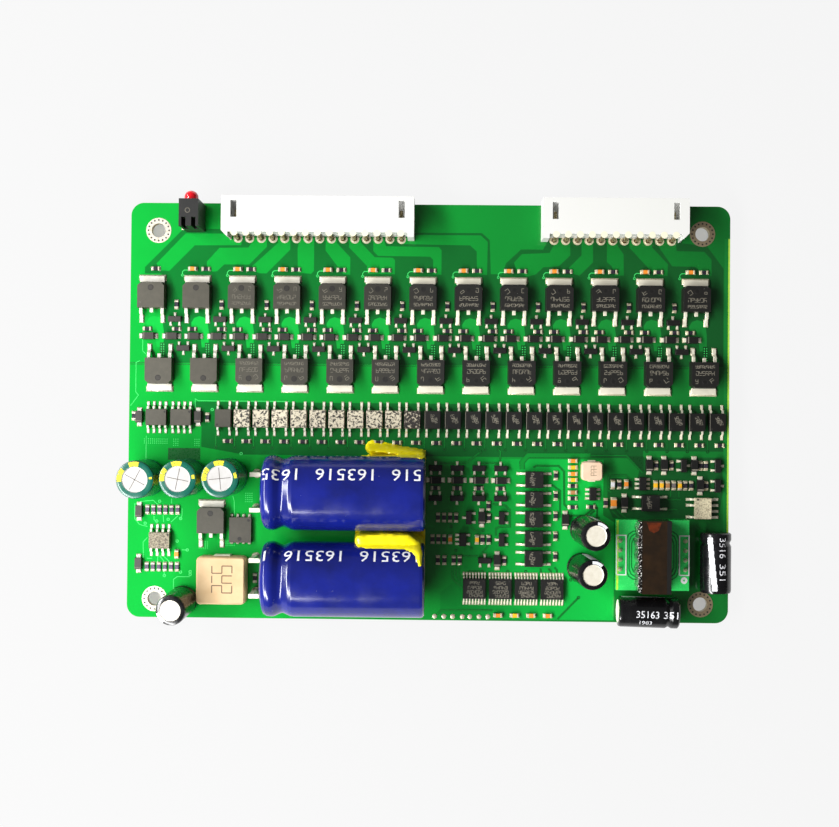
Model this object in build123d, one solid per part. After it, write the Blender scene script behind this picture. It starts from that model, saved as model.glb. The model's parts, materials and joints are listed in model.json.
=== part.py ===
"""Active balancer board: a 130 x 90 mm circuit board with its parts, in millimetres, +Z up.

The origin is the centre of the four mounting holes, on the board's underside.
+X runs along the long side, and the connectors open towards +Y.
"""

from build123d import *
import math
import os

# Board
BOARD_LENGTH = 130.0
BOARD_WIDTH = 90.0
BOARD_THICKNESS = 1.6
BOARD_CORNER_RADIUS = 2.8
HOLE_RADIUS = 1.6
HOLE_TO_END = 6.0
HOLE_TO_TOP_EDGE = 6.0
HOLE_TO_BOTTOM_EDGE = 4.0
JOINT_DROP = 1.5
JOINT_BASE = 1.8

HOLE_SPACING_X = BOARD_LENGTH - 2 * HOLE_TO_END
HOLE_SPACING_Y = BOARD_WIDTH - HOLE_TO_TOP_EDGE - HOLE_TO_BOTTOM_EDGE
TOP = BOARD_THICKNESS
TOP_EDGE = HOLE_SPACING_Y / 2 + HOLE_TO_TOP_EDGE
BOARD_CENTRE_Y = TOP_EDGE - BOARD_WIDTH / 2

# Layout: places are drawn for this board, and a board of another size spreads them in proportion
DRAWN_BOARD = (130.0, 90.0)
ACROSS = BOARD_LENGTH / DRAWN_BOARD[0]
ALONG = BOARD_WIDTH / DRAWN_BOARD[1]

# Side-entry connectors
PIN_PITCH = 2.54
PIN_SIZE = 0.64
PIN_HEIGHT = 3.1
PIN_ROW_TO_EDGE = 7.6
PIN_TO_MOUTH = 2.6
HOUSING_HEIGHT = 6.2
HOUSING_WALL = 0.8
HOUSING_BACK_WALL = 1.1
HOUSING_END_MARGIN = 2.8
HOUSING_OVERHANG = 0.7
HOUSING_REAR_GAP = 0.25
HOUSING_RIB = 1.4
HOUSING_RIB_REACH = 0.9
HOUSING_BEVEL = 1.2
WINDOW_WIDTH = 1.3
WINDOW_LENGTH = 3.6
WINDOW_TO_MOUTH = 1.0
WINDOW_TO_END = 2.0
LEFT_PIN_COUNT = 15
LEFT_CONNECTOR_X = -23.9 * ACROSS
RIGHT_PIN_COUNT = 11
RIGHT_CONNECTOR_X = 39.6 * ACROSS

# Indicator lamp in its right-angle holder
LED_X = -50.9 * ACROSS
LED_HOLDER = (4.1, 5.8, 9.0)
LED_HOLDER_TO_EDGE = 0.5
LED_SLOT = (0.9, 1.9, 4.5)
LED_SLOT_SPREAD = 2.1
LED_RADIUS = 1.5
LED_REACH = 2.2
LED_HEIGHT = 5.6

# Power switches in a moulded case with a solder tab
SWITCH_WIDTH = 6.1
SWITCH_LENGTH = 5.8
SWITCH_HEIGHT = 2.3
SWITCH_CORNER = 0.75
SWITCH_DRAFT = 4.0
TAB_WIDTH = 5.3
TAB_REACH = 1.3
TAB_THICKNESS = 0.5
SWITCH_LEAD_WIDTH = 0.75
SWITCH_LEAD_REACH = 2.9
SWITCH_LEAD_SPREAD = 2.29
SWITCH_LEAD_HEIGHT = 0.75
CELL_COUNT = 13
CELL_PITCH = 9.81
UPPER_ROW = (-60.15, 25.8)
LOWER_ROW = (-58.35, 9.4)
CONVERTER_SWITCH = (-46.7, -22.85)

# Four-lead optocouplers
LEAD_ROOT = 0.35
OPTO_WIDTH = 3.6
OPTO_LENGTH = 3.95
OPTO_HEIGHT = 2.0
OPTO_LEAD_PITCH = 2.54
OPTO_LEAD_REACH = 1.65
OPTO_LEAD_WIDTH = 0.45
OPTO_ROW_START = (-44.3, -0.75)
OPTO_CLOSE_PITCH = 4.09
OPTO_CLOSE_COUNT = 10
OPTO_WIDE_PITCH = 4.37
OPTO_WIDE_COUNT = 16
OPTO_COLUMN_START = (23.0, -13.4)
OPTO_COLUMN_PITCH = 4.25
OPTO_COLUMN_COUNT = 5
OPTO_SINGLE = (48.0, -18.2)
OPTO_CHIP_Y = -5.7

# Eight-lead small-outline packages
SO_LENGTH = 4.6
SO_WIDTH = 3.6
SO_HEIGHT = 1.6
SO_PITCH = 1.27
SO_LEAD_WIDTH = 0.45
SO_LEAD_REACH = 1.5
AMPLIFIERS = [(-58.85, -0.65), (-53.5, -0.65), (-57.85, -27.3)]
CONTROLLER = (59.3, -19.25)
CONTROLLER_EMPTY_LEAD = 1
POWER_STAGE = (-40.4, -24.9)
POWER_STAGE_SIZE = (4.8, 5.5, 1.1)

# Sixteen-lead shift registers
REGISTER_SIZE = (4.95, 4.4, 1.1)
REGISTER_START = (10.3, -37.05)
REGISTER_SPACING = 5.58
REGISTER_COUNT = 4

# Small transistors, regulators, diodes and chip parts
TRANSISTOR_SIZE = (2.9, 1.3, 1.0)
REGULATOR_SIZE = (2.9, 1.6, 1.15)
DIODE_SIZE = (2.6, 1.55, 1.1)
RESISTOR_SIZE = (1.6, 0.85, 0.45)
CAPACITOR_SIZE = (1.6, 0.85, 0.8)
LARGE_CAPACITOR_SIZE = (2.0, 1.25, 1.0)
LARGE_CAPACITOR = (40.2, -18.3)
UPRIGHT = 90

# Power inductors
LARGE_INDUCTOR = (-44.0, -35.5)
LARGE_INDUCTOR_SIZE = (10.5, 10.2, 4.4)
SMALL_INDUCTOR = (35.3, -11.4)
SMALL_INDUCTOR_SIZE = (4.5, 4.1, 2.9)
INDUCTOR_CORNER = 0.45
TERMINAL_THICKNESS = 0.25

# Supercapacitors lying along X
SUPER_DIAMETER = 15.8
SUPER_LENGTH = 34.9
SUPER_X = -35.3 * ACROSS
SUPER_SPACING = 18.1
SUPER_TO_CHIPS = 2.375
SUPER_UPPER_Y = OPTO_CHIP_Y * ALONG - RESISTOR_SIZE[1] / 2 - SUPER_TO_CHIPS - SUPER_DIAMETER / 2
SUPER_YS = (SUPER_UPPER_Y, SUPER_UPPER_Y - SUPER_SPACING)
SUPER_GROOVE_START = 3.4
SUPER_GROOVE_WIDTH = 3.4
SUPER_GROOVE_DEPTH = 0.75
SUPER_LEAD_SPACING = 7.5
SUPER_LEAD_SIZE = 0.9
SUPER_LEAD_REACH = 1.7

# Standing electrolytic capacitors: place, lean of the top in X and Y
GREEN_DIAMETER = 8.0
GREEN_HEIGHT = 13.0
GREEN_CAPACITORS = [(-60.7, -13.8), (-51.8, -13.6), (-43.0, -13.4)]
BLACK_DIAMETER = 6.4
BLACK_HEIGHT = 11.8
BLACK_CAPACITORS = [(33.8, -24.0, 1.4, -0.6), (33.2, -32.1, 1.4, -0.6), (-52.6, -40.1, -0.6, -0.9)]
CAN_LEAD_SPACING = 2.5

# Lying electrolytic capacitors: place of the closed end, and direction of the lead end
LYING_DIAMETER = 6.5
LYING_LENGTH = 12.9
LYING_CAPACITORS = [(61.6, -37.1, 90.0), (40.8, -41.15, -1.5)]

# Planar transformer on its own small board
TRANSFORMER = (48.2 * ACROSS, -29.2 * ALONG)
WINDING_BOARD = (15.5, 15.0, 2.0)
WINDING_BOARD_LIFT = 1.4
CORE_WIDTH = 6.1
CORE_LENGTH = 15.0
CORE_HEIGHT = 9.0
CORE_SPLIT = 2.4
CORE_BACK = 1.1
CORE_LEG = 1.7
CORE_POST = 3.2
CORE_FIT = 0.15
TAPE_THICKNESS = 0.15
TRANSFORMER_PIN_X = 6.95
TRANSFORMER_PIN_PITCH = 2.04
TRANSFORMER_PIN_COUNT = 4
TRANSFORMER_PIN_SIZE = 0.6

# Yellow fixing glue
GLUE_CLEARANCE = 0.05
GLUE_BRIDGE_LENGTH = 14.0
GLUE_BRIDGE_TO_END = 1.0
GLUE_BRIDGE_TOP = 13.2
GLUE_BRIDGE_BASE = 7.5
GLUE_FILLET_LENGTH = 12.2
GLUE_FILLET_TO_END = 0.2
GLUE_FILLET_TO_CHIPS = 0.175
GLUE_FILLET_REACH = SUPER_TO_CHIPS - GLUE_FILLET_TO_CHIPS
GLUE_FILLET_TOP = 5.6


def write(name, solids):
    """Write the solids of one named piece, or of one group of like pieces."""
    solids = list(solids)
    whole = solids[0] if len(solids) == 1 else Compound(children=solids)
    export_step(whole, os.path.join("parts", name + ".step"))


def block(size, x=0.0, y=0.0, z=TOP, angle=0.0):
    """Return a box that stands on z, centred on x, y and turned about Z."""
    solid = Box(*size, align=(Align.CENTER, Align.CENTER, Align.MIN))
    return Pos(x, y, z) * Rot(0, 0, angle) * solid


def blocks(size, places):
    """Return one box on the board at each drawn place."""
    return [block(size, x, y, TOP, angle) for x, y, angle in spread(places)]


def place(solid, x, y, angle=0.0, z=TOP):
    """Return the solid moved to x, y on the board and turned about Z."""
    return Pos(x, y, z) * Rot(0, 0, angle) * solid


def spread(places):
    """Return drawn places in proportion to the board's size; turns and leans stay."""
    return [(x * ACROSS, y * ALONG, *rest) for x, y, *rest in places]


def sideways(points, width):
    """Return a profile drawn in X and Z, extruded to a width centred on Y."""
    face = make_face(Plane.XZ * Polyline(*points, close=True))
    return extrude(face, amount=width / 2, both=True)


def lead(reach, rise, width, root):
    """Return a lead along +X that leaves a case at a height and tapers down to the board."""
    return sideways([(0, rise), (reach, 0), (0, rise + root)], width)


def mirrored_rows(one, count, pitch, offset):
    """Return copies of a +X lead along both long sides of a case, at -Y and +Y."""
    first = -(count - 1) * pitch / 2
    places = [first + i * pitch for i in range(count)]
    upper = [Pos(x, offset, 0) * Rot(0, 0, 90) * one for x in places]
    lower = [Pos(x, -offset, 0) * Rot(0, 0, -90) * one for x in places]
    return lower, upper


# Board


def circuit_board():
    """Return the bare board with its four mounting holes."""
    outline = Pos(0, BOARD_CENTRE_Y) * RectangleRounded(BOARD_LENGTH, BOARD_WIDTH, BOARD_CORNER_RADIUS)
    holes = GridLocations(HOLE_SPACING_X, HOLE_SPACING_Y, 2, 2) * Circle(HOLE_RADIUS)
    return extrude(outline - holes, amount=BOARD_THICKNESS)


def solder_joint(x, y):
    """Return the soldered tail of one lead, below the board: a four-sided cone."""
    half = JOINT_BASE / 2
    base = [Vector(x + i * half, y + j * half, 0) for i, j in ((-1, -1), (1, -1), (1, 1), (-1, 1))]
    tip = Vector(x, y, -JOINT_DROP)
    sides = [Face(Wire.make_polygon([a, b, tip])) for a, b in zip(base, base[1:] + base[:1])]
    return Solid(Shell([Face(Wire.make_polygon(base)), *sides]))


# Connectors


def pin_row_y():
    """Return where the connector pins enter the board."""
    return TOP_EDGE - PIN_ROW_TO_EDGE


def pin_places(count, centre):
    """Return the X places of a connector's pins."""
    first = centre - (count - 1) * PIN_PITCH / 2
    return [first + i * PIN_PITCH for i in range(count)]


def connector_housing(count, centre, bevel_side):
    """Return the shroud: open towards +Y, with two latch windows and a bevelled rear corner."""
    width = (count - 1) * PIN_PITCH + 2 * HOUSING_END_MARGIN
    rear = pin_row_y() + PIN_SIZE / 2 + HOUSING_REAR_GAP
    mouth = TOP_EDGE + HOUSING_OVERHANG
    depth = mouth - rear
    shell = block((width, depth, HOUSING_HEIGHT), centre, rear + depth / 2)
    rib_x = width / 2 - HOUSING_RIB / 2
    for side in (-1, 1):
        rib = (HOUSING_RIB, HOUSING_RIB_REACH, HOUSING_HEIGHT)
        shell += block(rib, centre + side * rib_x, rear - HOUSING_RIB_REACH / 2)
    corner = shell.edges().filter_by(Axis.Z).sort_by(lambda e: bevel_side * e.center().X - e.center().Y)[-1]
    shell = chamfer(corner, HOUSING_BEVEL)
    inner = (width - 2 * HOUSING_WALL, depth - HOUSING_BACK_WALL, HOUSING_HEIGHT - 2 * HOUSING_WALL)
    shell -= block(inner, centre, mouth - inner[1] / 2, TOP + HOUSING_WALL)
    slot = ((count - 1) * PIN_PITCH + PIN_SIZE, HOUSING_BACK_WALL, PIN_SIZE)
    shell -= block(slot, centre, rear + HOUSING_BACK_WALL / 2, TOP + PIN_HEIGHT - PIN_SIZE / 2)
    window = (WINDOW_WIDTH, WINDOW_LENGTH, HOUSING_WALL)
    window_x = width / 2 - WINDOW_TO_END - WINDOW_WIDTH / 2
    window_y = mouth - WINDOW_TO_MOUTH - WINDOW_LENGTH / 2
    for side in (-1, 1):
        shell -= block(window, centre + side * window_x, window_y, TOP + HOUSING_HEIGHT - HOUSING_WALL)
    return shell


def connector_pin(x):
    """Return one bent square pin, from the board up and into the shroud."""
    half = PIN_SIZE / 2
    tip = TOP_EDGE + HOUSING_OVERHANG - PIN_TO_MOUTH - pin_row_y()
    points = [
        (-half, 0),
        (half, 0),
        (half, PIN_HEIGHT - half),
        (tip, PIN_HEIGHT - half),
        (tip, PIN_HEIGHT + half),
        (-half, PIN_HEIGHT + half),
    ]
    return place(Rot(0, 0, 90) * sideways(points, PIN_SIZE), x, pin_row_y())


# Indicator lamp


def led_holder():
    """Return the black holder with its two rear slots."""
    length, depth, height = LED_HOLDER
    centre_y = TOP_EDGE - LED_HOLDER_TO_EDGE - depth / 2
    holder = block(LED_HOLDER, LED_X, centre_y)
    slot_y = centre_y - depth / 2 + LED_SLOT[1] / 2
    for side in (-1, 1):
        slot_x = LED_X + side * LED_SLOT_SPREAD / 2
        holder -= block(LED_SLOT, slot_x, slot_y, TOP + height - LED_SLOT[2])
    return holder


def led_lens():
    """Return the red lens, which points along +Y."""
    lens = extrude(Circle(LED_RADIUS), amount=LED_REACH)
    return Pos(LED_X, TOP_EDGE - LED_HOLDER_TO_EDGE, TOP + LED_HEIGHT) * Rot(-90, 0, 0) * lens


# Power switches


def switch_body():
    """Return the moulded case, with its tab end towards +Y and its two tab-end corners cut."""
    w, d, c = SWITCH_WIDTH / 2, SWITCH_LENGTH / 2, SWITCH_CORNER
    outline = Polyline((-w, -d), (w, -d), (w, d - c), (w - c, d), (-w + c, d), (-w, d - c), close=True)
    return extrude(make_face(outline), amount=SWITCH_HEIGHT, taper=SWITCH_DRAFT)


def switch_leadframe():
    """Return the tab and the two outer leads of one switch."""
    edge = SWITCH_LENGTH / 2
    tab = block((TAB_WIDTH, TAB_REACH, TAB_THICKNESS), 0, edge + TAB_REACH / 2, 0)
    reach, rise = SWITCH_LEAD_REACH, SWITCH_LEAD_HEIGHT
    bend = [(0, rise), (reach, 0), (reach, TAB_THICKNESS), (0, rise + TAB_THICKNESS)]
    one = sideways(bend, SWITCH_LEAD_WIDTH)
    outer = [Pos(side * SWITCH_LEAD_SPREAD, -edge, 0) * Rot(0, 0, -90) * one for side in (-1, 1)]
    return [tab, *outer]


def row_places(start):
    """Return the places of one row of switches."""
    return spread([(start[0] + i * CELL_PITCH, start[1]) for i in range(CELL_COUNT)])


# Optocouplers


def opto_body():
    """Return one moulded case."""
    return extrude(Rectangle(OPTO_WIDTH, OPTO_LENGTH), amount=OPTO_HEIGHT, taper=SWITCH_DRAFT)


def opto_leads():
    """Return the four leads of one optocoupler."""
    one = lead(OPTO_LEAD_REACH, OPTO_HEIGHT / 3, OPTO_LEAD_WIDTH, LEAD_ROOT)
    lower, upper = mirrored_rows(one, 2, OPTO_LEAD_PITCH, OPTO_LENGTH / 2)
    return lower + upper


def opto_row_places():
    """Return the row of optocouplers: closer at its left end."""
    x, y = OPTO_ROW_START
    close = [(x + i * OPTO_CLOSE_PITCH, y, 0) for i in range(OPTO_CLOSE_COUNT)]
    x += OPTO_CLOSE_COUNT * OPTO_CLOSE_PITCH
    return close + [(x + i * OPTO_WIDE_PITCH, y, 0) for i in range(OPTO_WIDE_COUNT)]


def opto_column_places():
    """Return the optocouplers that lie across: a column, and one by the transformer."""
    x, y = OPTO_COLUMN_START
    column = [(x, y - i * OPTO_COLUMN_PITCH, UPRIGHT) for i in range(OPTO_COLUMN_COUNT)]
    return column + [(*OPTO_SINGLE, UPRIGHT)]


# Small-outline packages


def so_leads():
    """Return the lower and the upper lead row of one eight-lead package."""
    one = lead(SO_LEAD_REACH, SO_HEIGHT / 3, SO_LEAD_WIDTH, LEAD_ROOT)
    return mirrored_rows(one, 4, SO_PITCH, SO_WIDTH / 2)


def so_body():
    """Return one moulded eight-lead case."""
    return extrude(Rectangle(SO_LENGTH, SO_WIDTH), amount=SO_HEIGHT, taper=SWITCH_DRAFT)


def controller_leads():
    """Return seven leads: turned upright, the upper row lies on the left, where one place is empty."""
    right, left = so_leads()
    del left[CONTROLLER_EMPTY_LEAD]
    return right + left


def register_places():
    """Return the row of shift registers."""
    x, y = REGISTER_START
    return spread([(x + i * REGISTER_SPACING, y) for i in range(REGISTER_COUNT)])


# Small parts


def per_cell(dx, y, first=0, last=CELL_COUNT):
    """Return one place in each cell, measured from the upper switch's centre."""
    return [(UPPER_ROW[0] + i * CELL_PITCH + dx, y) for i in range(first, last)]


def turned(places, angle=0.0):
    """Return places with a turn about Z added."""
    return [(x, y, angle) for x, y in places]


def along(start, pitch, count, y, angle=UPRIGHT):
    """Return a line of places along X."""
    return [(start + i * pitch, y, angle) for i in range(count)]


def transistor_places():
    """Return the three-lead transistors."""
    cells = per_cell(4.95, 20.7, last=12) + per_cell(6.85, 14.4, last=12)
    block_rows = along(1.7, 4.7, 4, -11.1, 0) + along(1.7, 4.7, 4, -17.6, 0)
    across = [(9.0, -21.8), (16.1, -21.8), (16.1, -26.5), (55.2, -10.1), (62.5, -10.1), (62.5, -14.4)]
    return turned(cells) + block_rows + turned(across, UPRIGHT) + [(12.5, -31.0, 0)]


def regulator_places():
    """Return the five- and six-lead regulators."""
    return [(7.7, -26.5, UPRIGHT), (35.7, -16.4, UPRIGHT), (46.4, -14.1, UPRIGHT)]


def diode_places():
    """Return the diodes."""
    cells = per_cell(-0.75, 17.0) + per_cell(4.25, 17.0, last=12)
    upright = [(-62.7, -0.6), (-49.9, -0.5), (-62.5, -21.1), (-62.5, -32.4), (11.8, -21.8), (15.2, -31.0)]
    upright += [(29.8, -22.1), (42.5, -18.3), (47.8, -10.1), (51.0, -10.1), (57.5, -10.1), (58.8, -14.4)]
    return turned(cells) + along(1.7, 4.7, 4, -13.7, 0) + turned(upright, UPRIGHT)


def resistor_places():
    """Return the chip resistors."""
    flat = per_cell(0.65, 31.65, last=1) + per_cell(1.8, 31.65, first=1)
    flat += per_cell(-1.05, 18.55) + per_cell(5.35, 18.55, last=12)
    flat += [(x + 0.85, OPTO_CHIP_Y) for x, _, _ in opto_row_places()]
    flat += [(31.4, -14.7), (31.4, -17.4), (31.4, -19.3), (35.4, -19.2)]
    upright = per_cell(5.25, 23.9, last=12)
    upright += [(-53.55, 41.2), (-63.9, -0.4), (-47.9, -0.6), (-37.2, -35.3), (13.2, -19.2)]
    upright += [(13.3, -21.8), (12.0, -26.5), (13.3, -26.5), (16.7, -31.0), (38.5, -18.3), (41.4, -14.3)]
    upright += [(49.3, -10.1), (52.6, -10.1), (58.9, -10.1), (60.0, -10.1), (60.1, -14.4)]
    lines = along(-60.7, 1.31, 6, -20.7) + along(-60.7, 1.31, 6, -33.05) + along(1.7, 4.7, 4, -15.45, 0)
    lines += along(2.35, 1.3, 4, -21.8) + along(1.2, 1.25, 3, -26.5) + along(2.4, 1.4, 2, -31.0)
    lines += along(5.8, 1.3, 2, -31.0) + along(55.6, 1.3, 2, -14.4)
    column = [(27.7, -12.5 - i * 4.37, UPRIGHT) for i in range(OPTO_COLUMN_COUNT)]
    return turned(flat) + turned(upright, UPRIGHT) + lines + column


def capacitor_places():
    """Return the chip capacitors."""
    flat = per_cell(-1.1, 31.65, first=1)
    flat += [(31.4, y) for y in (-9.3, -10.7, -12.1, -13.4, -16.1)]
    upright = [(-54.2, -30.3), (5.0, -26.5), (10.8, -26.5), (40.0, -14.3), (42.9, -14.2)]
    lines = along(15.5, 3.57, 4, -42.75, 0) + along(49.2, 1.3, 5, -14.4)
    return turned(flat) + turned(upright, UPRIGHT) + lines


# Inductors


def inductor_core(at, size):
    """Return a pressed-powder block with its upright corners cut."""
    length, width, height = size
    outline = Rectangle(length, width)
    core = extrude(chamfer(outline.vertices(), INDUCTOR_CORNER), amount=height)
    return place(core, *at)


def inductor_terminals(at, size):
    """Return the two folded terminals at the -Y and +Y ends."""
    length, width, height = size
    plate = (length / 3, TERMINAL_THICKNESS, height / 2)
    offset = (width + TERMINAL_THICKNESS) / 2
    return [block(plate, at[0], at[1] + side * offset) for side in (-1, 1)]


# Capacitors


def standing_can(diameter, height):
    """Return a sleeved can along +Z."""
    return extrude(Circle(diameter / 2), amount=height)


def leaning_can(x, y, lean_x, lean_y):
    """Return a black can whose top leans by the given distances, and that stands on its base edge."""
    tilt = math.degrees(math.atan2(math.hypot(lean_x, lean_y), BLACK_HEIGHT))
    heading = math.degrees(math.atan2(lean_y, lean_x))
    lift = math.sin(math.radians(tilt)) * BLACK_DIAMETER / 2
    can = Rot(0, 0, heading) * Rot(0, tilt, 0) * standing_can(BLACK_DIAMETER, BLACK_HEIGHT)
    return Pos(x, y, TOP + lift) * can


def supercapacitor(y):
    """Return one supercapacitor lying on the board: its crimped groove and its leads towards -X."""
    r = SUPER_DIAMETER / 2
    middle = SUPER_GROOVE_START + SUPER_GROOVE_WIDTH / 2
    points = [
        (0, 0),
        (0, r),
        (SUPER_GROOVE_START, r),
        (middle, r - SUPER_GROOVE_DEPTH),
        (SUPER_GROOVE_START + SUPER_GROOVE_WIDTH, r),
        (SUPER_LENGTH, r),
        (SUPER_LENGTH, 0),
    ]
    can = revolve(make_face(Polyline(*points, close=True)), Axis.X)
    return Pos(SUPER_X, y, TOP + r) * can


def super_lead_places(y):
    """Return where the two leads of one supercapacitor enter the board."""
    x = SUPER_X - SUPER_LEAD_REACH
    return [(x, y + side * SUPER_LEAD_SPACING / 2) for side in (-1, 1)]


def supercapacitor_lead(x, y):
    """Return one lead: out of the can's end and straight down to the board."""
    half = SUPER_LEAD_SIZE / 2
    height = SUPER_DIAMETER / 2
    points = [
        (-half, 0),
        (half, 0),
        (half, height - half),
        (SUPER_LEAD_REACH, height - half),
        (SUPER_LEAD_REACH, height + half),
        (-half, height + half),
    ]
    return place(sideways(points, SUPER_LEAD_SIZE), x, y)


def lying_capacitor(x, y, angle):
    """Return one black can lying on the board: its closed end at x, y, its leads at the far end."""
    can = Rot(0, 90, 0) * standing_can(LYING_DIAMETER, LYING_LENGTH)
    return Pos(x, y, TOP + LYING_DIAMETER / 2) * Rot(0, 0, angle) * can


def can_joint_places():
    """Return where the leads of all the electrolytic cans are soldered."""
    standing = spread(GREEN_CAPACITORS + [(x, y) for x, y, _, _ in BLACK_CAPACITORS])
    places = [(x + side * CAN_LEAD_SPACING / 2, y) for x, y in standing for side in (-1, 1)]
    for y in SUPER_YS:
        places += super_lead_places(y)
    return places


# Planar transformer


def winding_board():
    """Return the transformer's own board: a window for the middle post and two notches for the legs."""
    length, width, thickness = WINDING_BOARD
    board = block(WINDING_BOARD, z=0)
    through = CORE_WIDTH + 2 * CORE_FIT
    leg_depth = CORE_LEG + CORE_FIT
    board -= block((through, CORE_POST + 2 * CORE_FIT, thickness), z=0)
    for side in (-1, 1):
        board -= block((through, leg_depth, thickness), 0, side * (width - leg_depth) / 2, 0)
    return place(board, *TRANSFORMER, z=TOP + WINDING_BOARD_LIFT)


def core_half(height):
    """Return one E-shaped half of the ferrite core, its back down."""
    half = CORE_LENGTH / 2
    leg = half - CORE_LEG
    post = CORE_POST / 2
    points = [(-half, 0), (half, 0), (half, height), (leg, height), (leg, CORE_BACK), (post, CORE_BACK)]
    points += [(post, height), (-post, height), (-post, CORE_BACK), (-leg, CORE_BACK)]
    points += [(-leg, height), (-half, height)]
    return Rot(0, 0, 90) * sideways(points, CORE_WIDTH)


def transformer_core():
    """Return the two halves, which meet inside the winding board."""
    upper_height = CORE_HEIGHT - CORE_SPLIT
    lower = place(core_half(CORE_SPLIT), *TRANSFORMER)
    upper = Pos(*TRANSFORMER, TOP + CORE_HEIGHT) * Rot(180, 0, 0) * core_half(upper_height)
    return [lower, upper]


def transformer_tape():
    """Return the tape over the top and down both ends of the core."""
    half = CORE_LENGTH / 2
    outer = half + TAPE_THICKNESS
    top = CORE_HEIGHT + TAPE_THICKNESS
    points = [(-outer, 0), (-half, 0), (-half, CORE_HEIGHT), (half, CORE_HEIGHT)]
    points += [(half, 0), (outer, 0), (outer, top), (-outer, top)]
    return place(Rot(0, 0, 90) * sideways(points, CORE_WIDTH), *TRANSFORMER)


def transformer_pin_places():
    """Return the four pins on each side of the transformer."""
    x, y = TRANSFORMER
    first = y - (TRANSFORMER_PIN_COUNT - 1) * TRANSFORMER_PIN_PITCH / 2
    ys = [first + i * TRANSFORMER_PIN_PITCH for i in range(TRANSFORMER_PIN_COUNT)]
    return [(x + side * TRANSFORMER_PIN_X, at) for side in (-1, 1) for at in ys]


# Glue


def can_cutter(y):
    """Return the space that a supercapacitor takes from the glue."""
    cutter = Cylinder(SUPER_DIAMETER / 2 + GLUE_CLEARANCE, 2 * SUPER_LENGTH, rotation=(0, 90, 0))
    return Pos(0, y, TOP + SUPER_DIAMETER / 2) * cutter


def glue_bridge():
    """Return the glue that fills the valley between the two supercapacitors."""
    end = SUPER_X + SUPER_LENGTH - GLUE_BRIDGE_TO_END
    start = end - GLUE_BRIDGE_LENGTH
    middle = (SUPER_YS[0] + SUPER_YS[1]) / 2
    size = (end - start, SUPER_YS[0] - SUPER_YS[1], GLUE_BRIDGE_TOP - GLUE_BRIDGE_BASE)
    glue = block(size, (start + end) / 2, middle, GLUE_BRIDGE_BASE)
    for y in SUPER_YS:
        glue -= can_cutter(y)
    return glue.solids().sort_by(lambda s: abs(s.center().Y - middle))[0]


def glue_fillet():
    """Return the glue between the board and the upper supercapacitor's side."""
    end = SUPER_X + SUPER_LENGTH - GLUE_FILLET_TO_END
    start = end - GLUE_FILLET_LENGTH
    side = SUPER_YS[0] + SUPER_DIAMETER / 2
    points = [(-SUPER_DIAMETER / 4, 0), (GLUE_FILLET_REACH, 0), (GLUE_FILLET_REACH / 2, GLUE_FILLET_TOP / 3)]
    points += [(-SUPER_DIAMETER / 60, GLUE_FILLET_TOP), (-SUPER_DIAMETER / 4, GLUE_FILLET_TOP)]
    strip = Rot(0, 0, 90) * sideways(points, end - start)
    glue = place(strip, (start + end) / 2, side) - can_cutter(SUPER_YS[0])
    return glue.solids().sort_by(Axis.Y)[-1]


def build_connectors():
    """Write the two connectors and return where their pins are soldered."""
    y = pin_row_y()
    left = pin_places(LEFT_PIN_COUNT, LEFT_CONNECTOR_X)
    right = pin_places(RIGHT_PIN_COUNT, RIGHT_CONNECTOR_X)
    write("left_connector_housing", [connector_housing(LEFT_PIN_COUNT, LEFT_CONNECTOR_X, -1)])
    write("right_connector_housing", [connector_housing(RIGHT_PIN_COUNT, RIGHT_CONNECTOR_X, 1)])
    write("left_connector_pins", [connector_pin(x) for x in left])
    write("right_connector_pins", [connector_pin(x) for x in right])
    return [(x, y) for x in left + right]


def build_switches():
    """Write the two rows of power switches and the converter's switch."""
    body = switch_body()
    frame = switch_leadframe()
    upper = [(x, y, 0) for x, y in row_places(UPPER_ROW)]
    lower = [(x, y, 180) for x, y in row_places(LOWER_ROW)]
    single = spread([(*CONVERTER_SWITCH, 0)])
    for name, places in (("upper_switch", upper), ("lower_switch", lower), ("converter_switch", single)):
        write(name + "_bodies", [place(body, *at) for at in places])
        write(name + "_leadframes", [place(piece, *at) for at in places for piece in frame])


def build_packages():
    """Write the optocouplers, the amplifiers, the controller, the power stage and the registers."""
    for name, places in (("optocoupler_row", opto_row_places()), ("optocoupler_column", opto_column_places())):
        write(name + "_bodies", [place(opto_body(), *at) for at in spread(places)])
        write(name + "_leads", [place(piece, *at) for at in spread(places) for piece in opto_leads()])
    lower, upper = so_leads()
    write("amplifier_bodies", [place(so_body(), *at) for at in spread(AMPLIFIERS)])
    write("amplifier_leads", [place(piece, *at) for at in spread(AMPLIFIERS) for piece in lower + upper])
    controller = spread([CONTROLLER])[0]
    write("controller_body", [place(so_body(), *controller, UPRIGHT)])
    write("controller_leads", [place(piece, *controller, UPRIGHT) for piece in controller_leads()])
    write("power_stage_body", [block(POWER_STAGE_SIZE, *spread([POWER_STAGE])[0])])
    write("register_bodies", [block(REGISTER_SIZE, *at) for at in register_places()])


def build_small_parts():
    """Write the transistors, regulators, diodes, chip resistors and chip capacitors."""
    write("transistor_bodies", blocks(TRANSISTOR_SIZE, transistor_places()))
    write("regulator_bodies", blocks(REGULATOR_SIZE, regulator_places()))
    write("diode_bodies", blocks(DIODE_SIZE, diode_places()))
    write("chip_resistors", blocks(RESISTOR_SIZE, resistor_places()))
    large = blocks(LARGE_CAPACITOR_SIZE, [(*LARGE_CAPACITOR, UPRIGHT)])
    write("chip_capacitors", blocks(CAPACITOR_SIZE, capacitor_places()) + large)


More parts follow.
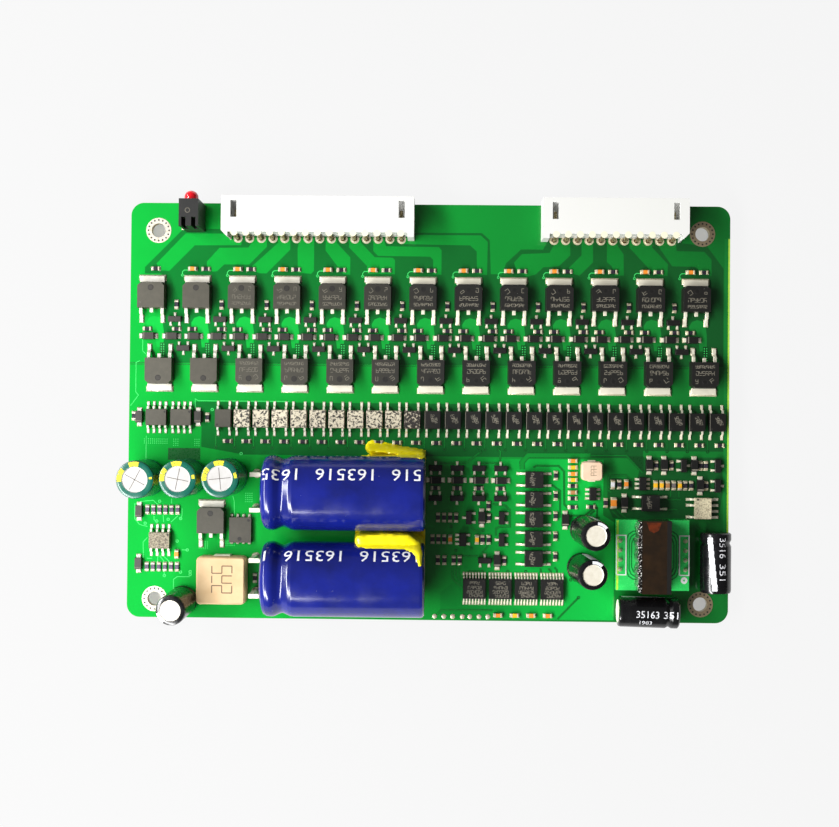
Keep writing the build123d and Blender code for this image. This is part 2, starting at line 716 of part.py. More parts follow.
def build_power_parts():
    """Write the inductors, the capacitors, the transformer and the glue."""
    for name, drawn, size in (
        ("large_inductor", LARGE_INDUCTOR, LARGE_INDUCTOR_SIZE),
        ("small_inductor", SMALL_INDUCTOR, SMALL_INDUCTOR_SIZE),
    ):
        at = spread([drawn])[0]
        write(name + "_core", [inductor_core(at, size)])
        write(name + "_terminals", inductor_terminals(at, size))
    green = standing_can(GREEN_DIAMETER, GREEN_HEIGHT)
    standing = [place(green, *at) for at in spread(GREEN_CAPACITORS)]
    standing += [leaning_can(*at) for at in spread(BLACK_CAPACITORS)]
    lying = [supercapacitor(y) for y in SUPER_YS] + [lying_capacitor(*at) for at in spread(LYING_CAPACITORS)]
    write("standing_capacitors", standing)
    write("lying_capacitors", lying)
    leads = [supercapacitor_lead(*at) for y in SUPER_YS for at in super_lead_places(y)]
    write("supercapacitor_leads", leads)
    write("transformer_board", [winding_board()])
    write("transformer_core", transformer_core())
    write("transformer_tape", [transformer_tape()])
    pin = (TRANSFORMER_PIN_SIZE, TRANSFORMER_PIN_SIZE, WINDING_BOARD_LIFT)
    write("transformer_pins", [block(pin, *at) for at in transformer_pin_places()])
    write("glue_bridge", [glue_bridge()])
    write("glue_fillet", [glue_fillet()])


os.makedirs("parts", exist_ok=True)
write("circuit_board", [circuit_board()])
soldered = build_connectors()
write("led_holder", [led_holder()])
write("led_lens", [led_lens()])
build_switches()
build_packages()
build_small_parts()
build_power_parts()
soldered += can_joint_places() + transformer_pin_places()
write("solder_joints", [solder_joint(x, y) for x, y in soldered])
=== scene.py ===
"""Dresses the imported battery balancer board: finishes, copper, solder, print and small trim.

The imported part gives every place: each sub-assembly reads where its solids stand and builds the
detailed piece there. Sizes are in millimetres in the part's frame, and one scale turns the finished
meshes to metres.
"""

from __future__ import annotations

import json
import logging
import math
import random
from dataclasses import dataclass, field
from enum import Enum

import bmesh
import bpy
from mathutils import Matrix, Vector

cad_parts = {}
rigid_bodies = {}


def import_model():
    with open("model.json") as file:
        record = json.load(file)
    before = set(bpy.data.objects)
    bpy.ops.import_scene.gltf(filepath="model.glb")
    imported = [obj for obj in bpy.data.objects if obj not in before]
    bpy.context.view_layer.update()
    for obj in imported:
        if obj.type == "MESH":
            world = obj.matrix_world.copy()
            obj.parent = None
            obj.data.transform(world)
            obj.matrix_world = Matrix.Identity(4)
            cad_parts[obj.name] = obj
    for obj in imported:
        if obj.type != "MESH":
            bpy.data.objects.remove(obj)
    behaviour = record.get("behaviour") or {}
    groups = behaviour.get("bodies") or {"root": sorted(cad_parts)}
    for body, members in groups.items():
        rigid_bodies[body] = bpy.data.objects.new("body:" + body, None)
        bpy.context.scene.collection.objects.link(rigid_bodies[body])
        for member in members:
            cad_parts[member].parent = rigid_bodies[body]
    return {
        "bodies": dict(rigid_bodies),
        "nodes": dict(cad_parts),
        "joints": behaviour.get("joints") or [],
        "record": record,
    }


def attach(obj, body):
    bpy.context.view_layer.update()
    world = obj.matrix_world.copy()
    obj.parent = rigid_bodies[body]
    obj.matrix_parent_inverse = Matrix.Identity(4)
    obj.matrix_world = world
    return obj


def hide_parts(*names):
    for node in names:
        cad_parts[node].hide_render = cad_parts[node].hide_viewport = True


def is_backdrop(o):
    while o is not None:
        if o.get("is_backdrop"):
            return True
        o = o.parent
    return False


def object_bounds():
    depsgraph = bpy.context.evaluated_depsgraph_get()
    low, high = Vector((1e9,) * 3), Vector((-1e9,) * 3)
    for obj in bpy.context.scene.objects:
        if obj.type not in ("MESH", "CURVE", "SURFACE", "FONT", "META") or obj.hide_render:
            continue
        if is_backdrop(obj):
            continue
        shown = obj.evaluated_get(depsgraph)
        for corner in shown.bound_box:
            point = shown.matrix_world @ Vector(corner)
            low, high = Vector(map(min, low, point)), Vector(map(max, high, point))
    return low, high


Point = tuple[float, float]
Triple = tuple[float, float, float]
Outline = list[Point]
Bead = tuple[Triple, ...]

MM = 0.001
LOG = logging.getLogger("balancer_board")

# The height of the board's upper face, and how thick a film of print or laser marking is drawn.
BOARD_TOP = 1.6
PRINT_FILM = 0.01
# Facets round a small disc or ring, and how near an edge a turned form gets its holding ring.
ROUND_STEPS = 24
HOLD = 0.15
# Pale specks: how far apart they lie and how big the largest is.
DUST_SPACING = 1.6
DUST_RADIUS = 0.16
# How far below its top edge the print on a can ends, and the digits that stand for its lettering.
RIM_EDGE = 0.6
DIGITS = "163516"
STAGE_WHITE = "F7F7F7"


def linear(code: str) -> tuple[float, float, float, float]:
    """Turn an sRGB hex colour to linear.

    Args:
        code: six hex digits.

    Returns:
        Red, green, blue and an alpha of one.
    """
    parts = [int(code[i : i + 2], 16) / 255 for i in (0, 2, 4)]
    rgb = [c / 12.92 if c <= 0.04045 else ((c + 0.055) / 1.055) ** 2.4 for c in parts]
    return (rgb[0], rgb[1], rgb[2], 1.0)


def add(
    tree: bpy.types.NodeTree, kind: str, inputs: dict | None = None, **settings: object
) -> bpy.types.Node:
    """Add a node with its settings, values and links.

    Args:
        tree: the node tree.
        kind: the node's type.
        inputs: a value or an output socket for each input, by name or number.
        settings: the node's own properties.

    Returns:
        The new node.
    """
    made = tree.nodes.new(kind)
    for name, value in settings.items():
        setattr(made, name, value)
    for socket, value in (inputs or {}).items():
        if isinstance(value, bpy.types.NodeSocket):
            tree.links.new(value, made.inputs[socket])
        else:
            made.inputs[socket].default_value = value
    return made


@dataclass(frozen=True)
class Finish:
    """One surface, from what it is made of and how it was made.

    Attributes:
        name: the real material.
        colour: its main colour, as sRGB hex.
        roughness: how broad its reflection is.
        second: a second colour that shows in patches.
        far: its colour at the board's right end, where it has one; painted light and shade that stands in for
            the lamp's falloff across the board.
        patch: the size of those patches in millimetres.
        cover: the noise levels between which the second colour takes over.
        grain: the size of the relief's grain in millimetres.
        relief: the depth of the relief in millimetres.
        uneven: how far the roughness swings.
        metallic: one for bare metal.
        ior: the index of refraction.
        coat: the weight of a clear layer on top.
        dust: the share of pale specks, from 0 to 1.
        fade: where along the board the far colour begins and is full, in millimetres.
    """

    name: str
    colour: str
    roughness: float
    second: str = ""
    far: str = ""
    patch: float = 3.0
    cover: tuple[float, float] = (0.4, 0.7)
    grain: float = 0.3
    relief: float = 0.004
    uneven: float = 0.08
    metallic: float = 0.0
    ior: float = 1.5
    coat: float = 0.0
    dust: float = 0.0
    fade: Point = (-65.0, 65.0)

    def material(self) -> bpy.types.Material:
        """Return the shader of this finish, made once."""
        label = self.name + "_finish"
        found = bpy.data.materials.get(label)
        if found:
            return found
        made = bpy.data.materials.new(label)
        made.use_nodes = True
        made.diffuse_color = linear(self.colour)
        tree = made.node_tree
        tree.nodes.clear()
        place = add(tree, "ShaderNodeTexCoord").outputs["Object"]
        colour = self.mottled(tree, place)
        noise = {"Vector": place, "Scale": 1 / (self.grain * MM), "Detail": 3.0}
        grain = add(tree, "ShaderNodeTexNoise", noise).outputs["Fac"]
        limits = {"Value": grain, "From Min": 0.3, "From Max": 0.7}
        limits["To Min"] = max(0.02, self.roughness - self.uneven)
        limits["To Max"] = self.roughness + self.uneven
        swing = add(tree, "ShaderNodeMapRange", limits).outputs["Result"]
        relief = {"Height": grain, "Distance": self.relief * MM, "Strength": 1.0}
        bump = add(tree, "ShaderNodeBump", relief).outputs["Normal"]
        surface = {"Base Color": colour, "Roughness": swing, "Metallic": self.metallic, "IOR": self.ior}
        surface |= {"Coat Weight": self.coat, "Coat Roughness": 0.08, "Normal": bump}
        shader = add(tree, "ShaderNodeBsdfPrincipled", surface)
        add(tree, "ShaderNodeOutputMaterial", {"Surface": shader.outputs["BSDF"]})
        return made

    def mottled(self, tree: bpy.types.NodeTree, place: bpy.types.NodeSocket) -> bpy.types.NodeSocket:
        """Return the colour with its second colour in patches, its painted light and shade along the board,
        and its dust.

        Args:
            tree: the node tree.
            place: the point on the object, in metres.

        Returns:
            The colour's socket.
        """
        noise = {"Vector": place, "Scale": 1 / (self.patch * MM), "Detail": 5.0, "Roughness": 0.6}
        patches = add(tree, "ShaderNodeTexNoise", noise).outputs["Fac"]
        limits = {"Value": patches, "From Min": self.cover[0], "From Max": self.cover[1]}
        share = add(tree, "ShaderNodeMapRange", limits).outputs["Result"]
        pair = {0: share, 6: linear(self.colour), 7: linear(self.second or self.colour)}
        mixed = add(tree, "ShaderNodeMix", pair, data_type="RGBA").outputs[2]
        if self.far:
            mixed = self.faded(tree, place, mixed)
        if not self.dust:
            return mixed
        specks = add(tree, "ShaderNodeTexVoronoi", {"Vector": place, "Scale": 1 / (DUST_SPACING * MM)})
        radius = DUST_RADIUS * self.dust
        limits = {"Value": specks.outputs["Distance"], "From Min": radius, "From Max": radius * 0.6}
        speck = add(tree, "ShaderNodeMapRange", limits | {"To Max": 0.8}).outputs["Result"]
        pair = {0: speck, 6: mixed, 7: linear("D8DCD0")}
        return add(tree, "ShaderNodeMix", pair, data_type="RGBA").outputs[2]

    def faded(
        self, tree: bpy.types.NodeTree, place: bpy.types.NodeSocket, near: bpy.types.NodeSocket
    ) -> bpy.types.NodeSocket:
        """Return the colour run over to the far one along the board, as painted light and shade.

        Args:
            tree: the node tree.
            place: the point on the object, in metres.
            near: the socket of the near colour.

        Returns:
            The socket of both colours.
        """
        along = add(tree, "ShaderNodeSeparateXYZ", {0: place}).outputs["X"]
        limits = {"Value": along, "From Min": self.fade[0] * MM, "From Max": self.fade[1] * MM}
        share = add(tree, "ShaderNodeMapRange", limits).outputs["Result"]
        pair = {0: share, 6: near, 7: linear(self.far)}
        return add(tree, "ShaderNodeMix", pair, data_type="RGBA").outputs[2]


# Green solder mask: a tinted lacquer. Over copper it looks light and warm, over bare laminate dark.
# The far colours of these mask finishes are painted shade: the mask darkens towards the board's right end.
MASK_ON_COPPER = Finish(
    "mask_on_copper", "0A9A32", 0.12, "0A9230", "106626", patch=18, relief=0.001, uneven=0.02, ior=1.4
)
MASK_ON_LAMINATE = Finish(
    "mask_on_laminate", "086C27", 0.12, "086424", "114C20", patch=18, relief=0.001, uneven=0.02, ior=1.4
)
MASK_BRIGHT = Finish(
    "mask_on_thick_copper", "10A83A", 0.12, "0FA037", "14702C", patch=18, relief=0.001, uneven=0.02, ior=1.4
)
# A painted pool of light: the mask over the lower middle of the board brightens towards the right.
MASK_LIT = Finish(
    "mask_with_painted_light", "0A7A2A", 0.12, "0A7228", "0EA63C", patch=18, relief=0.001, uneven=0.02, ior=1.4,
    fade=(8, 36)
)
MASK_TRACK = Finish("mask_on_fine_track", "3CC862", 0.35, relief=0.0, ior=1.4)
# Its far colour is painted shade, darker towards the board's right end.
MASK_HOLLOW = Finish("mask_in_a_hollow", "0A5C22", 0.3, "0A5420", "0A3A16", patch=6, relief=0.0, ior=1.4)
LAMINATE_EDGE = Finish("laminate_edge", "A8D040", 0.6, "8CC434", patch=0.6, grain=0.2, relief=0.02)
# Its far colour is painted shade: the ring turns darker and browner towards the board's right end.
PLATED_RING = Finish(
    "plated_ring", "CFCABC", 0.45, "B4AC96", "86765C", patch=0.5, grain=0.3, relief=0.02, metallic=0.3
)
# Hot-air-levelled tin: bright and wavy, so it glints white and goes grey in places.
# The far colours of tin and solder are painted light: they turn paler towards the board's right end.
TINNED_PAD = Finish(
    "tinned_pad", "D2CCBC", 0.4, "A89E84", "DCD2B0", patch=0.6, metallic=0.4, grain=0.5, relief=0.015
)
SOLDER = Finish(
    "solder_fillet", "CFC9BA", 0.32, "7C745E", "E4DABC", patch=0.45, metallic=0.5, grain=0.35, relief=0.03
)
# Rolled copper strip with a tin layer: brighter and smoother than solder.
# Its far colour is painted light, paler towards the board's right end.
TINNED_STRIP = Finish(
    "tinned_strip", "DAD7CE", 0.42, "C6C1B2", "F6F0DA", patch=1.2, grain=0.6, relief=0.008, metallic=0.4,
    fade=(-60, 0)
)
TINNED_BRASS = Finish("tinned_brass", "B8AC86", 0.3, "8E7C50", patch=0.7, metallic=0.9, relief=0.006)
BROWN_FLUX = Finish("burnt_flux", "5A3A1C", 0.35, "2E1D10", patch=0.4, relief=0.02)
# Epoxy moulding compound from a spark-eroded die: a fine grey-brown satin.
# Its far colour is painted shade: the cases go near black towards the board's right end.
MOULDED_EPOXY = Finish(
    "moulded_epoxy", "3E3B30", 0.5, "454136", "0E0D0A", patch=1.2, grain=0.12, relief=0.006, dust=0.15,
    fade=(-55, 5)
)
# Its far colour is painted shade, near black towards the board's right end.
DARK_EPOXY = Finish(
    "dark_moulded_epoxy", "2A2722", 0.45, "302C27", "0D0C0A", patch=1, grain=0.12, relief=0.005, fade=(-60, 5)
)
# Painted shade: near black rings and discs for dimples, pin-one marks and the small holes round the mounting
# holes.
DIMPLE_SHADE = Finish("painted_shade_in_dimples", "15120F", 0.6, relief=0.0)
# Its far colour is painted light: the marking turns paler towards the board's right end.
LASER_MARK = Finish(
    "laser_mark", "5C584C", 0.6, "454137", "7E796B", patch=0.4, cover=(0.35, 0.65), relief=0.0, fade=(-60, 10)
)
# Dried flux: a crazed cream film that lets the black case show through.
FLUX_FILM = Finish("dried_flux", "1F1B18", 0.55, "C2B9A2", patch=0.42, cover=(0.44, 0.52), relief=0.02)
FLUX_THIN = Finish("thin_dried_flux", "241F1C", 0.5, "B5AC98", patch=0.5, cover=(0.53, 0.6), relief=0.01)
SILVERED_FLUX = Finish("silvered_flux", "453D31", 0.4, "8E856F", patch=0.22, cover=(0.42, 0.55), relief=0.02)
PALE_FLUX = Finish("pale_silvered_flux", "8F846C", 0.4, "D2C8A8", patch=0.22, cover=(0.4, 0.53), relief=0.02)
# Glass glaze over ruthenium paste: near black with a violet cast, smooth enough to glint.
RESISTOR_GLAZE = Finish("resistor_glaze", "1E1B22", 0.3, "3A3542", patch=0.5, relief=0.002)
RESISTOR_PALE = Finish("pale_resistor_glaze", "4A4254", 0.3, "6A6072", patch=0.4, relief=0.002)
# Fired barium titanate, matt: its colour differs from one value to the next.
CERAMIC_ORANGE = Finish("ceramic_orange", "E88A2C", 0.42, "D97A22", patch=0.6)
CERAMIC_YELLOW = Finish("ceramic_yellow", "F2B81E", 0.42, "E6A818", patch=0.6)
CERAMIC_TAN = Finish("ceramic_tan", "B07E4E", 0.42, "9C6C42", patch=0.6)
CERAMIC_GREY = Finish("ceramic_grey", "6C6664", 0.42, "5C5654", patch=0.6)
# Glass-filled nylon: a dull satin, white for the shrouds and black for the lamp's holder.
# Its far colour is painted light: the shrouds turn paler towards the board's right end.
WHITE_NYLON = Finish("white_nylon", "C0C0BD", 0.5, "BCBCB8", "E4E4E0", patch=6, grain=0.4, relief=0.003)
# Pale discs of painted light where the pins show in the shrouds' nylon, paler towards the board's right end.
PIN_LIGHT_PAINT = Finish("pin_light_seen_in_nylon", "CFCBAE", 0.5, "D2CFB8", "ECE9D0", patch=0.5, relief=0.003)
BLACK_NYLON = Finish("black_nylon", "0B0B0A", 0.5, "151412", patch=2, grain=0.2, relief=0.01)
# Dyed casting epoxy: as smooth as glass, so the lens holds one sharp glint.
RED_EPOXY = Finish("red_clear_epoxy", "F01424", 0.12, "E01020", relief=0.0, coat=0.5)
# Screen-printed ink: matt and a little thicker than paint.
SILK_PRINT = Finish("white_silk_print", "FFFFFF", 0.6, "F2F4EE", patch=0.4, relief=0.004)
# Shrunk PVC sleeve: smooth, glossy, slightly wavy where it has drawn tight.
BLUE_SLEEVE = Finish(
    "blue_sleeve", "0F1A70", 0.18, "0B1456", patch=9, grain=4, relief=0.03, coat=0.2, dust=0.2
)
GREEN_SLEEVE = Finish("green_sleeve", "0B5848", 0.3, "0A5042", patch=3, grain=2, relief=0.02, coat=0.1)
BLACK_SLEEVE = Finish("black_sleeve", "0A0A0C", 0.24, "101012", patch=3, grain=2, relief=0.03, coat=0.15)
WHITE_PRINT = Finish("white_print", "DADADC", 0.5, "E2E3EA", patch=0.5, relief=0.0)
YELLOW_PRINT = Finish("yellow_print", "DCCB14", 0.5, "5E6A18", patch=0.25, cover=(0.5, 0.62), relief=0.0)
# Drawn and pressed aluminium: pale grey, broad dull reflections.
ALUMINIUM = Finish(
    "pressed_aluminium", "B0AEAC", 0.5, "A6A4A0", patch=2, metallic=0.2, grain=0.2, relief=0.006
)
CREAM_ALUMINIUM = Finish("dusty_aluminium", "E8E2D2", 0.55, "DCD5C2", patch=1, metallic=0.2, relief=0.01)
# Painted shade in the grooves of the scored cross.
SCORE_SHADE = Finish("score_line", "544F4A", 0.5, relief=0.0)
# Pressed iron powder with a pale varnish.
IRON_POWDER = Finish("varnished_iron_powder", "BEA27A", 0.5, "B4966C", patch=5, grain=0.25, relief=0.01)
PINK_POWDER = Finish("pale_iron_powder", "D9BFA4", 0.5, "CFB294", patch=4, grain=0.25, relief=0.01)
ENGRAVED = Finish("engraved_mark", "5E4A34", 0.6, relief=0.0)
WINDING_MASK = Finish("winding_board_mask", "3CEC70", 0.25, "30D862", patch=4, relief=0.004, ior=1.4)
WINDING_SHADE = Finish("winding_board_hollow", "10903A", 0.3, relief=0.0, ior=1.4)
WINDING_EDGE = Finish("winding_board_pale_edge", "D0FF50", 0.4, "90F048", patch=0.8, relief=0.0, ior=1.4)
# Sintered and ground ferrite: a dull near black.
FERRITE = Finish("ferrite", "2A2827", 0.55, "353230", patch=1, grain=0.15, relief=0.01)
# Polyimide tape: clear amber over dark ferrite, so it looks dark brown and glossy.
POLYIMIDE = Finish("polyimide_tape", "1C1105", 0.12, "2A1A08", patch=3, grain=2.2, relief=0.09, coat=0.6)
AMBER_TAPE = Finish("amber_where_light_gets_under", "5C240A", 0.2, "2E1408", patch=1.0, relief=0.02, coat=0.4)
CRUMPLED_TAPE = Finish(
    "crumpled_tape", "0E0B09", 0.18, "D8D8D2", patch=0.35, cover=(0.56, 0.6), grain=0.5, relief=0.15, coat=0.5
)
# Solvent glue that has skinned over: opaque, smooth and a little lumpy.
YELLOW_GLUE = Finish("yellow_glue", "F6E80A", 0.35, "E8D606", patch=2.5, grain=3.0, relief=0.05, coat=0.3)


@dataclass
class Form:
    """A shape in millimetres: its points, its faces and the number of each face's finish."""

    points: list[Triple] = field(default_factory=list)
    faces: list[tuple[int, ...]] = field(default_factory=list)
    finishes: list[int] = field(default_factory=list)

    def add(self, other: Form, at: Matrix | None = None) -> Form:
        """Add a copy of another form.

        Args:
            other: the form to copy.
            at: where the copy goes.

        Returns:
            This form.
        """
        start = len(self.points)
        self.points += [tuple(at @ Vector(p)) for p in other.points] if at else other.points
        self.faces += [tuple(i + start for i in face) for face in other.faces]
        self.finishes += other.finishes
        return self

    def face(self, corners: list[Triple], finish: int = 0) -> Form:
        """Add one face.

        Args:
            corners: its corners, anticlockwise from outside.
            finish: the number of its finish.

        Returns:
            This form.
        """
        start = len(self.points)
        self.points += corners
        self.faces.append(tuple(range(start, start + len(corners))))
        self.finishes.append(finish)
        return self

    def walls(self, first: list[Triple], last: list[Triple], finish: int) -> Form:
        """Add a closed prism between two loops of corners.

        Args:
            first: the corners of its first end, anticlockwise seen from the last end.
            last: the corners of its last end, in the same order.
            finish: the number of its finish.

        Returns:
            This form.
        """
        n, start = len(first), len(self.points)
        self.points += first + last
        self.faces.append(tuple(start + n + i for i in range(n)))
        self.faces.append(tuple(start + i for i in reversed(range(n))))
        for i in range(n):
            j = (i + 1) % n
            self.faces.append((start + i, start + j, start + n + j, start + n + i))
        self.finishes += [finish] * (n + 2)
        return self

    def prism(
        self, outline: Outline, low: float, high: float, finish: int = 0, draw: float = 0.0
    ) -> Form:
        """Add an upright prism.

        Args:
            outline: its corners, anticlockwise from above.
            low: the height of its base.
            high: the height of its top.
            finish: the number of its finish.
            draw: how far each side leans in at the top.

        Returns:
            This form.
        """
        mid_x = sum(x for x, _ in outline) / len(outline)
        mid_y = sum(y for _, y in outline) / len(outline)
        top = [(x - math.copysign(draw, x - mid_x), y - math.copysign(draw, y - mid_y)) for x, y in outline]
        return self.walls([(x, y, low) for x, y in outline], [(x, y, high) for x, y in top], finish)

    def block(self, x: Point, y: Point, z: Point, finish: int = 0, draw: float = 0.0) -> Form:
        """Add a box from its ranges along X, Y and Z, and return this form."""
        outline = [(x[0], y[0]), (x[1], y[0]), (x[1], y[1]), (x[0], y[1])]
        return self.prism(outline, z[0], z[1], finish, draw)

    def sideways(self, outline: Outline, x: Point, finish: int = 0) -> Form:
        """Add a prism along X, whose outline is drawn in Y and Z, and return this form."""
        first, last = ([(end, y, z) for y, z in outline] for end in x)
        return self.walls(first, last, finish)

    def lathe(self, profile: list[Point], steps: int, bands: list[int] | None = None) -> Form:
        """Add a form turned about Z.

        Args:
            profile: radius and height of each ring, from the bottom up.
            steps: how many facets go round.
            bands: the finish of each band between two rings.

        Returns:
            This form.
        """
        profile, bands = supported(profile, bands or [0] * (len(profile) - 1))
        start = len(self.points)
        for radius, height in profile:
            self.points += [(x, y, height) for x, y in circle(0.0, 0.0, radius, steps)]
        for band in range(len(profile) - 1):
            low = start + band * steps
            for i in range(steps):
                j = (i + 1) % steps
                self.faces.append((low + i, low + j, low + steps + j, low + steps + i))
                self.finishes.append(bands[band])
        last = start + (len(profile) - 1) * steps
        if profile[0][0] > 0:
            self.faces.append(tuple(start + i for i in reversed(range(steps))))
            self.finishes.append(bands[0])
        if profile[-1][0] > 0:
            self.faces.append(tuple(last + i for i in range(steps)))
            self.finishes.append(bands[-1])
        return self

    def disc(
        self, x: float, y: float, z: float, radius: float, finish: int = 0, height: float = 0.02
    ) -> Form:
        """Add a thin round disc that ends at z, and return this form."""
        return self.prism(circle(x, y, radius), z - height, z, finish)

    def ring(
        self, x: float, y: float, z: float, radii: Point, finish: int = 0, height: float = 0.02
    ) -> Form:
        """Add a thin flat ring.

        Args:
            x: the place of its middle along X.
            y: the place of its middle along Y.
            z: the height at which it ends.
            radii: its inner and outer radius.
            finish: the number of its finish.
            height: how thick it is.

        Returns:
            This form.
        """
        inner, outer = radii
        hollow = Form()
        for radius, level in ((inner, -height), (outer, -height), (outer, 0.0), (inner, 0.0)):
            hollow.points += [(a, b, level) for a, b in circle(0.0, 0.0, radius)]
        for band in range(4):
            low, high = band * ROUND_STEPS, (band + 1) % 4 * ROUND_STEPS
            for i in range(ROUND_STEPS):
                j = (i + 1) % ROUND_STEPS
                hollow.faces.append((low + i, low + j, high + j, high + i))
                hollow.finishes.append(finish)
        return self.add(hollow, Matrix.Translation((x, y, z)))



def supported(profile: list[Point], bands: list[int]) -> tuple[list[Point], list[int]]:
    """Add a ring near both ends of each long band, so that its shading stays straight.

    Args:
        profile: radius and height of each ring.
        bands: the finish of each band.

    Returns:
        The fuller profile and its bands.
    """
    rings, skins = [profile[0]], []
    for start, end, skin in zip(profile, profile[1:], bands):
        long = math.dist(start, end)
        if long > HOLD * 4:
            for share in (HOLD / long, 1 - HOLD / long):
                rings.append((start[0] + (end[0] - start[0]) * share, start[1] + (end[1] - start[1]) * share))
                skins.append(skin)
        rings.append(end)
        skins.append(skin)
    return rings, skins


def circle(x: float, y: float, radius: float, steps: int = ROUND_STEPS) -> Outline:
    """Return a circle's corners, anticlockwise."""
    turn = 2 * math.pi / steps
    return [(x + radius * math.cos(i * turn), y + radius * math.sin(i * turn)) for i in range(steps)]


def stroke(path: Outline, width: float) -> Outline:
    """Return the outline of a line of even width with mitred corners.

    Args:
        path: the points of its centreline.
        width: its width.

    Returns:
        The corners of the outline, anticlockwise.
    """
    left, right = [], []
    for i, (x, y) in enumerate(path):
        before = Vector(path[i]) - Vector(path[i - 1]) if i else Vector(path[1]) - Vector(path[0])
        after = Vector(path[i + 1]) - Vector(path[i]) if i < len(path) - 1 else before
        a, b = before.normalized(), after.normalized()
        normal = Vector((-a.y - b.y, a.x + b.x)).normalized()
        reach = width / 2 / max(0.4, normal.dot(Vector((-a.y, a.x))))
        left.append((x + normal.x * reach, y + normal.y * reach))
        right.append((x - normal.x * reach, y - normal.y * reach))
    return right + left[::-1]


def at(x: float, y: float, z: float = 0.0, angle: float = 0.0) -> Matrix:
    """Return a place: a move in millimetres after a turn about Z in degrees."""
    return Matrix.Translation((x, y, z)) @ Matrix.Rotation(math.radians(angle), 4, "Z")


@dataclass
class Solid:
    """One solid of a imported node: its lowest and highest corner in millimetres."""

    low: Vector
    high: Vector

    @property
    def centre(self) -> Vector:
        """The middle of its box."""
        return (self.low + self.high) / 2

    @property
    def size(self) -> Vector:
        """The sizes of its box."""
        return self.high - self.low

    @property
    def upright(self) -> bool:
        """Whether it is longer along Y than along X."""
        return self.size.y > self.size.x

    @property
    def long_first(self) -> Vector:
        """The sizes of its box with the longer side first."""
        x, y, z = self.size
        return Vector((y, x, z)) if self.upright else Vector((x, y, z))

    def place(self, angle: float = 0.0) -> Matrix:
        """Return the place of a form that stands at the middle of its foot, turned in degrees."""
        return at(self.centre.x, self.centre.y, self.low.z, angle)


@dataclass
class Bench:
    """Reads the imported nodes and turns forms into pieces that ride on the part."""

    nodes: dict[str, bpy.types.Object]
    body: str = "root"

    def solids(self, node: str) -> list[Solid]:
        """Return the separate solids of a node, from left to right.

        Args:
            node: the node's name.

        Returns:
            One box for each solid.
        """
        mesh = self.nodes[node].data
        spots: dict[tuple[int, int, int], int] = {}
        rounded = [tuple(round(c / MM * 1000) for c in v.co) for v in mesh.vertices]
        point_of = [spots.setdefault(spot, len(spots)) for spot in rounded]
        parent = list(range(len(spots)))

        def root(i: int) -> int:
            """Return the group that a point belongs to."""
            while parent[i] != i:
                parent[i] = parent[parent[i]]
                i = parent[i]
            return i

        for face in mesh.polygons:
            first = root(point_of[face.vertices[0]])
            for v in face.vertices[1:]:
                parent[root(point_of[v])] = first
        groups: dict[int, list[Vector]] = {}
        for spot, i in spots.items():
            groups.setdefault(root(i), []).append(Vector(spot) / 1000)
        found = []
        for points in groups.values():
            low, high = (Vector([pick(p[k] for p in points) for k in range(3)]) for pick in (min, max))
            found.append(Solid(low, high))
        return sorted(found, key=lambda s: (round(s.centre.x, 1), -s.centre.y))

    def piece(
        self, name: str, form: Form, finishes: list[Finish], replaces: tuple[str, ...] = (),
        bevel: float = 0.0
    ) -> None:
        """Make one piece of the part from a form.

        Args:
            name: the piece's name.
            form: its shape in millimetres.
            finishes: its finishes, in the order of the form's numbers.
            replaces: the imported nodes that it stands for.
            bevel: the width of its broken edges in millimetres.
        """
        mesh = bpy.data.meshes.new(name)
        mesh.from_pydata([Vector(p) * MM for p in form.points], [], form.faces)
        mesh.polygons.foreach_set("material_index", form.finishes)
        for finish in finishes:
            mesh.materials.append(finish.material())
        mesh.polygons.foreach_set("use_smooth", [True] * len(mesh.polygons))
        mesh.set_sharp_from_angle(angle=math.radians(32))
        made = bpy.data.objects.new(name, mesh)
        bpy.context.scene.collection.objects.link(made)
        if bevel:
            rounder = made.modifiers.new("broken_edges", "BEVEL")
            rounder.width = bevel * MM
            rounder.segments = 1
            rounder.limit_method = "ANGLE"
            rounder.angle_limit = math.radians(40)
        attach(made, self.body)
        if replaces:
            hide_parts(*replaces)
        LOG.info("%s: %d faces", name, len(form.faces))

    def dress(self, node: str, finish: Finish) -> None:
        """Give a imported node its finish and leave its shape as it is.

        Args:
            node: the node's name.
            finish: its surface.
        """
        materials = self.nodes[node].data.materials
        materials.clear()
        materials.append(finish.material())
        LOG.info("%s keeps its shape", node)


@dataclass
class Marking:
    """Rows of small strokes, as unreadable laser marking looks from a step away."""

    finish: int = 0
    line: float = 0.09
    film: float = 0.015
    # The space between two glyphs, as a share of a glyph's width.
    gap: float = 0.35

    def glyph(self, rng: random.Random, width: float, height: float) -> Form:
        """Return one glyph: a random choice of the seven strokes of a segment figure.

        Args:
            rng: the seeded source of choices.
            width: the glyph's width.
            height: the glyph's height.

        Returns:
            The strokes, from the glyph's lower left corner.
        """
        half, w = height / 2, width
        strokes = [
            ((0, 0), (w, 0)),
            ((0, half), (w, half)),
            ((0, height), (w, height)),
            ((0, 0), (0, half)),
            ((w, 0), (w, half)),
            ((0, half), (0, height)),
            ((w, half), (w, height)),
        ]
        form = Form()
        for start, end in rng.sample(strokes, rng.choice((4, 5))):
            form.prism(stroke([start, end], self.line), 0, self.film, self.finish)
        return form

    def row(
        self, rng: random.Random, count: int, centre: Point, z: float, size: Point, angle: float = 0.0
    ) -> Form:
        """Return one row of glyphs.

        Args:
            rng: the seeded source of choices.
            count: how many glyphs.
            centre: the middle of the row.
            z: the height of the surface.
            size: the width and height of a glyph.
            angle: the row's turn in degrees.

        Returns:
            The row.
        """
        width, height = size
        pitch = width * (1 + self.gap)
        line = Form()
        for i in range(count):
            x = (i - count / 2) * pitch
            line.add(self.glyph(rng, width, height), at(x, -height / 2))
        return Form().add(line, at(centre[0], centre[1], z, angle))


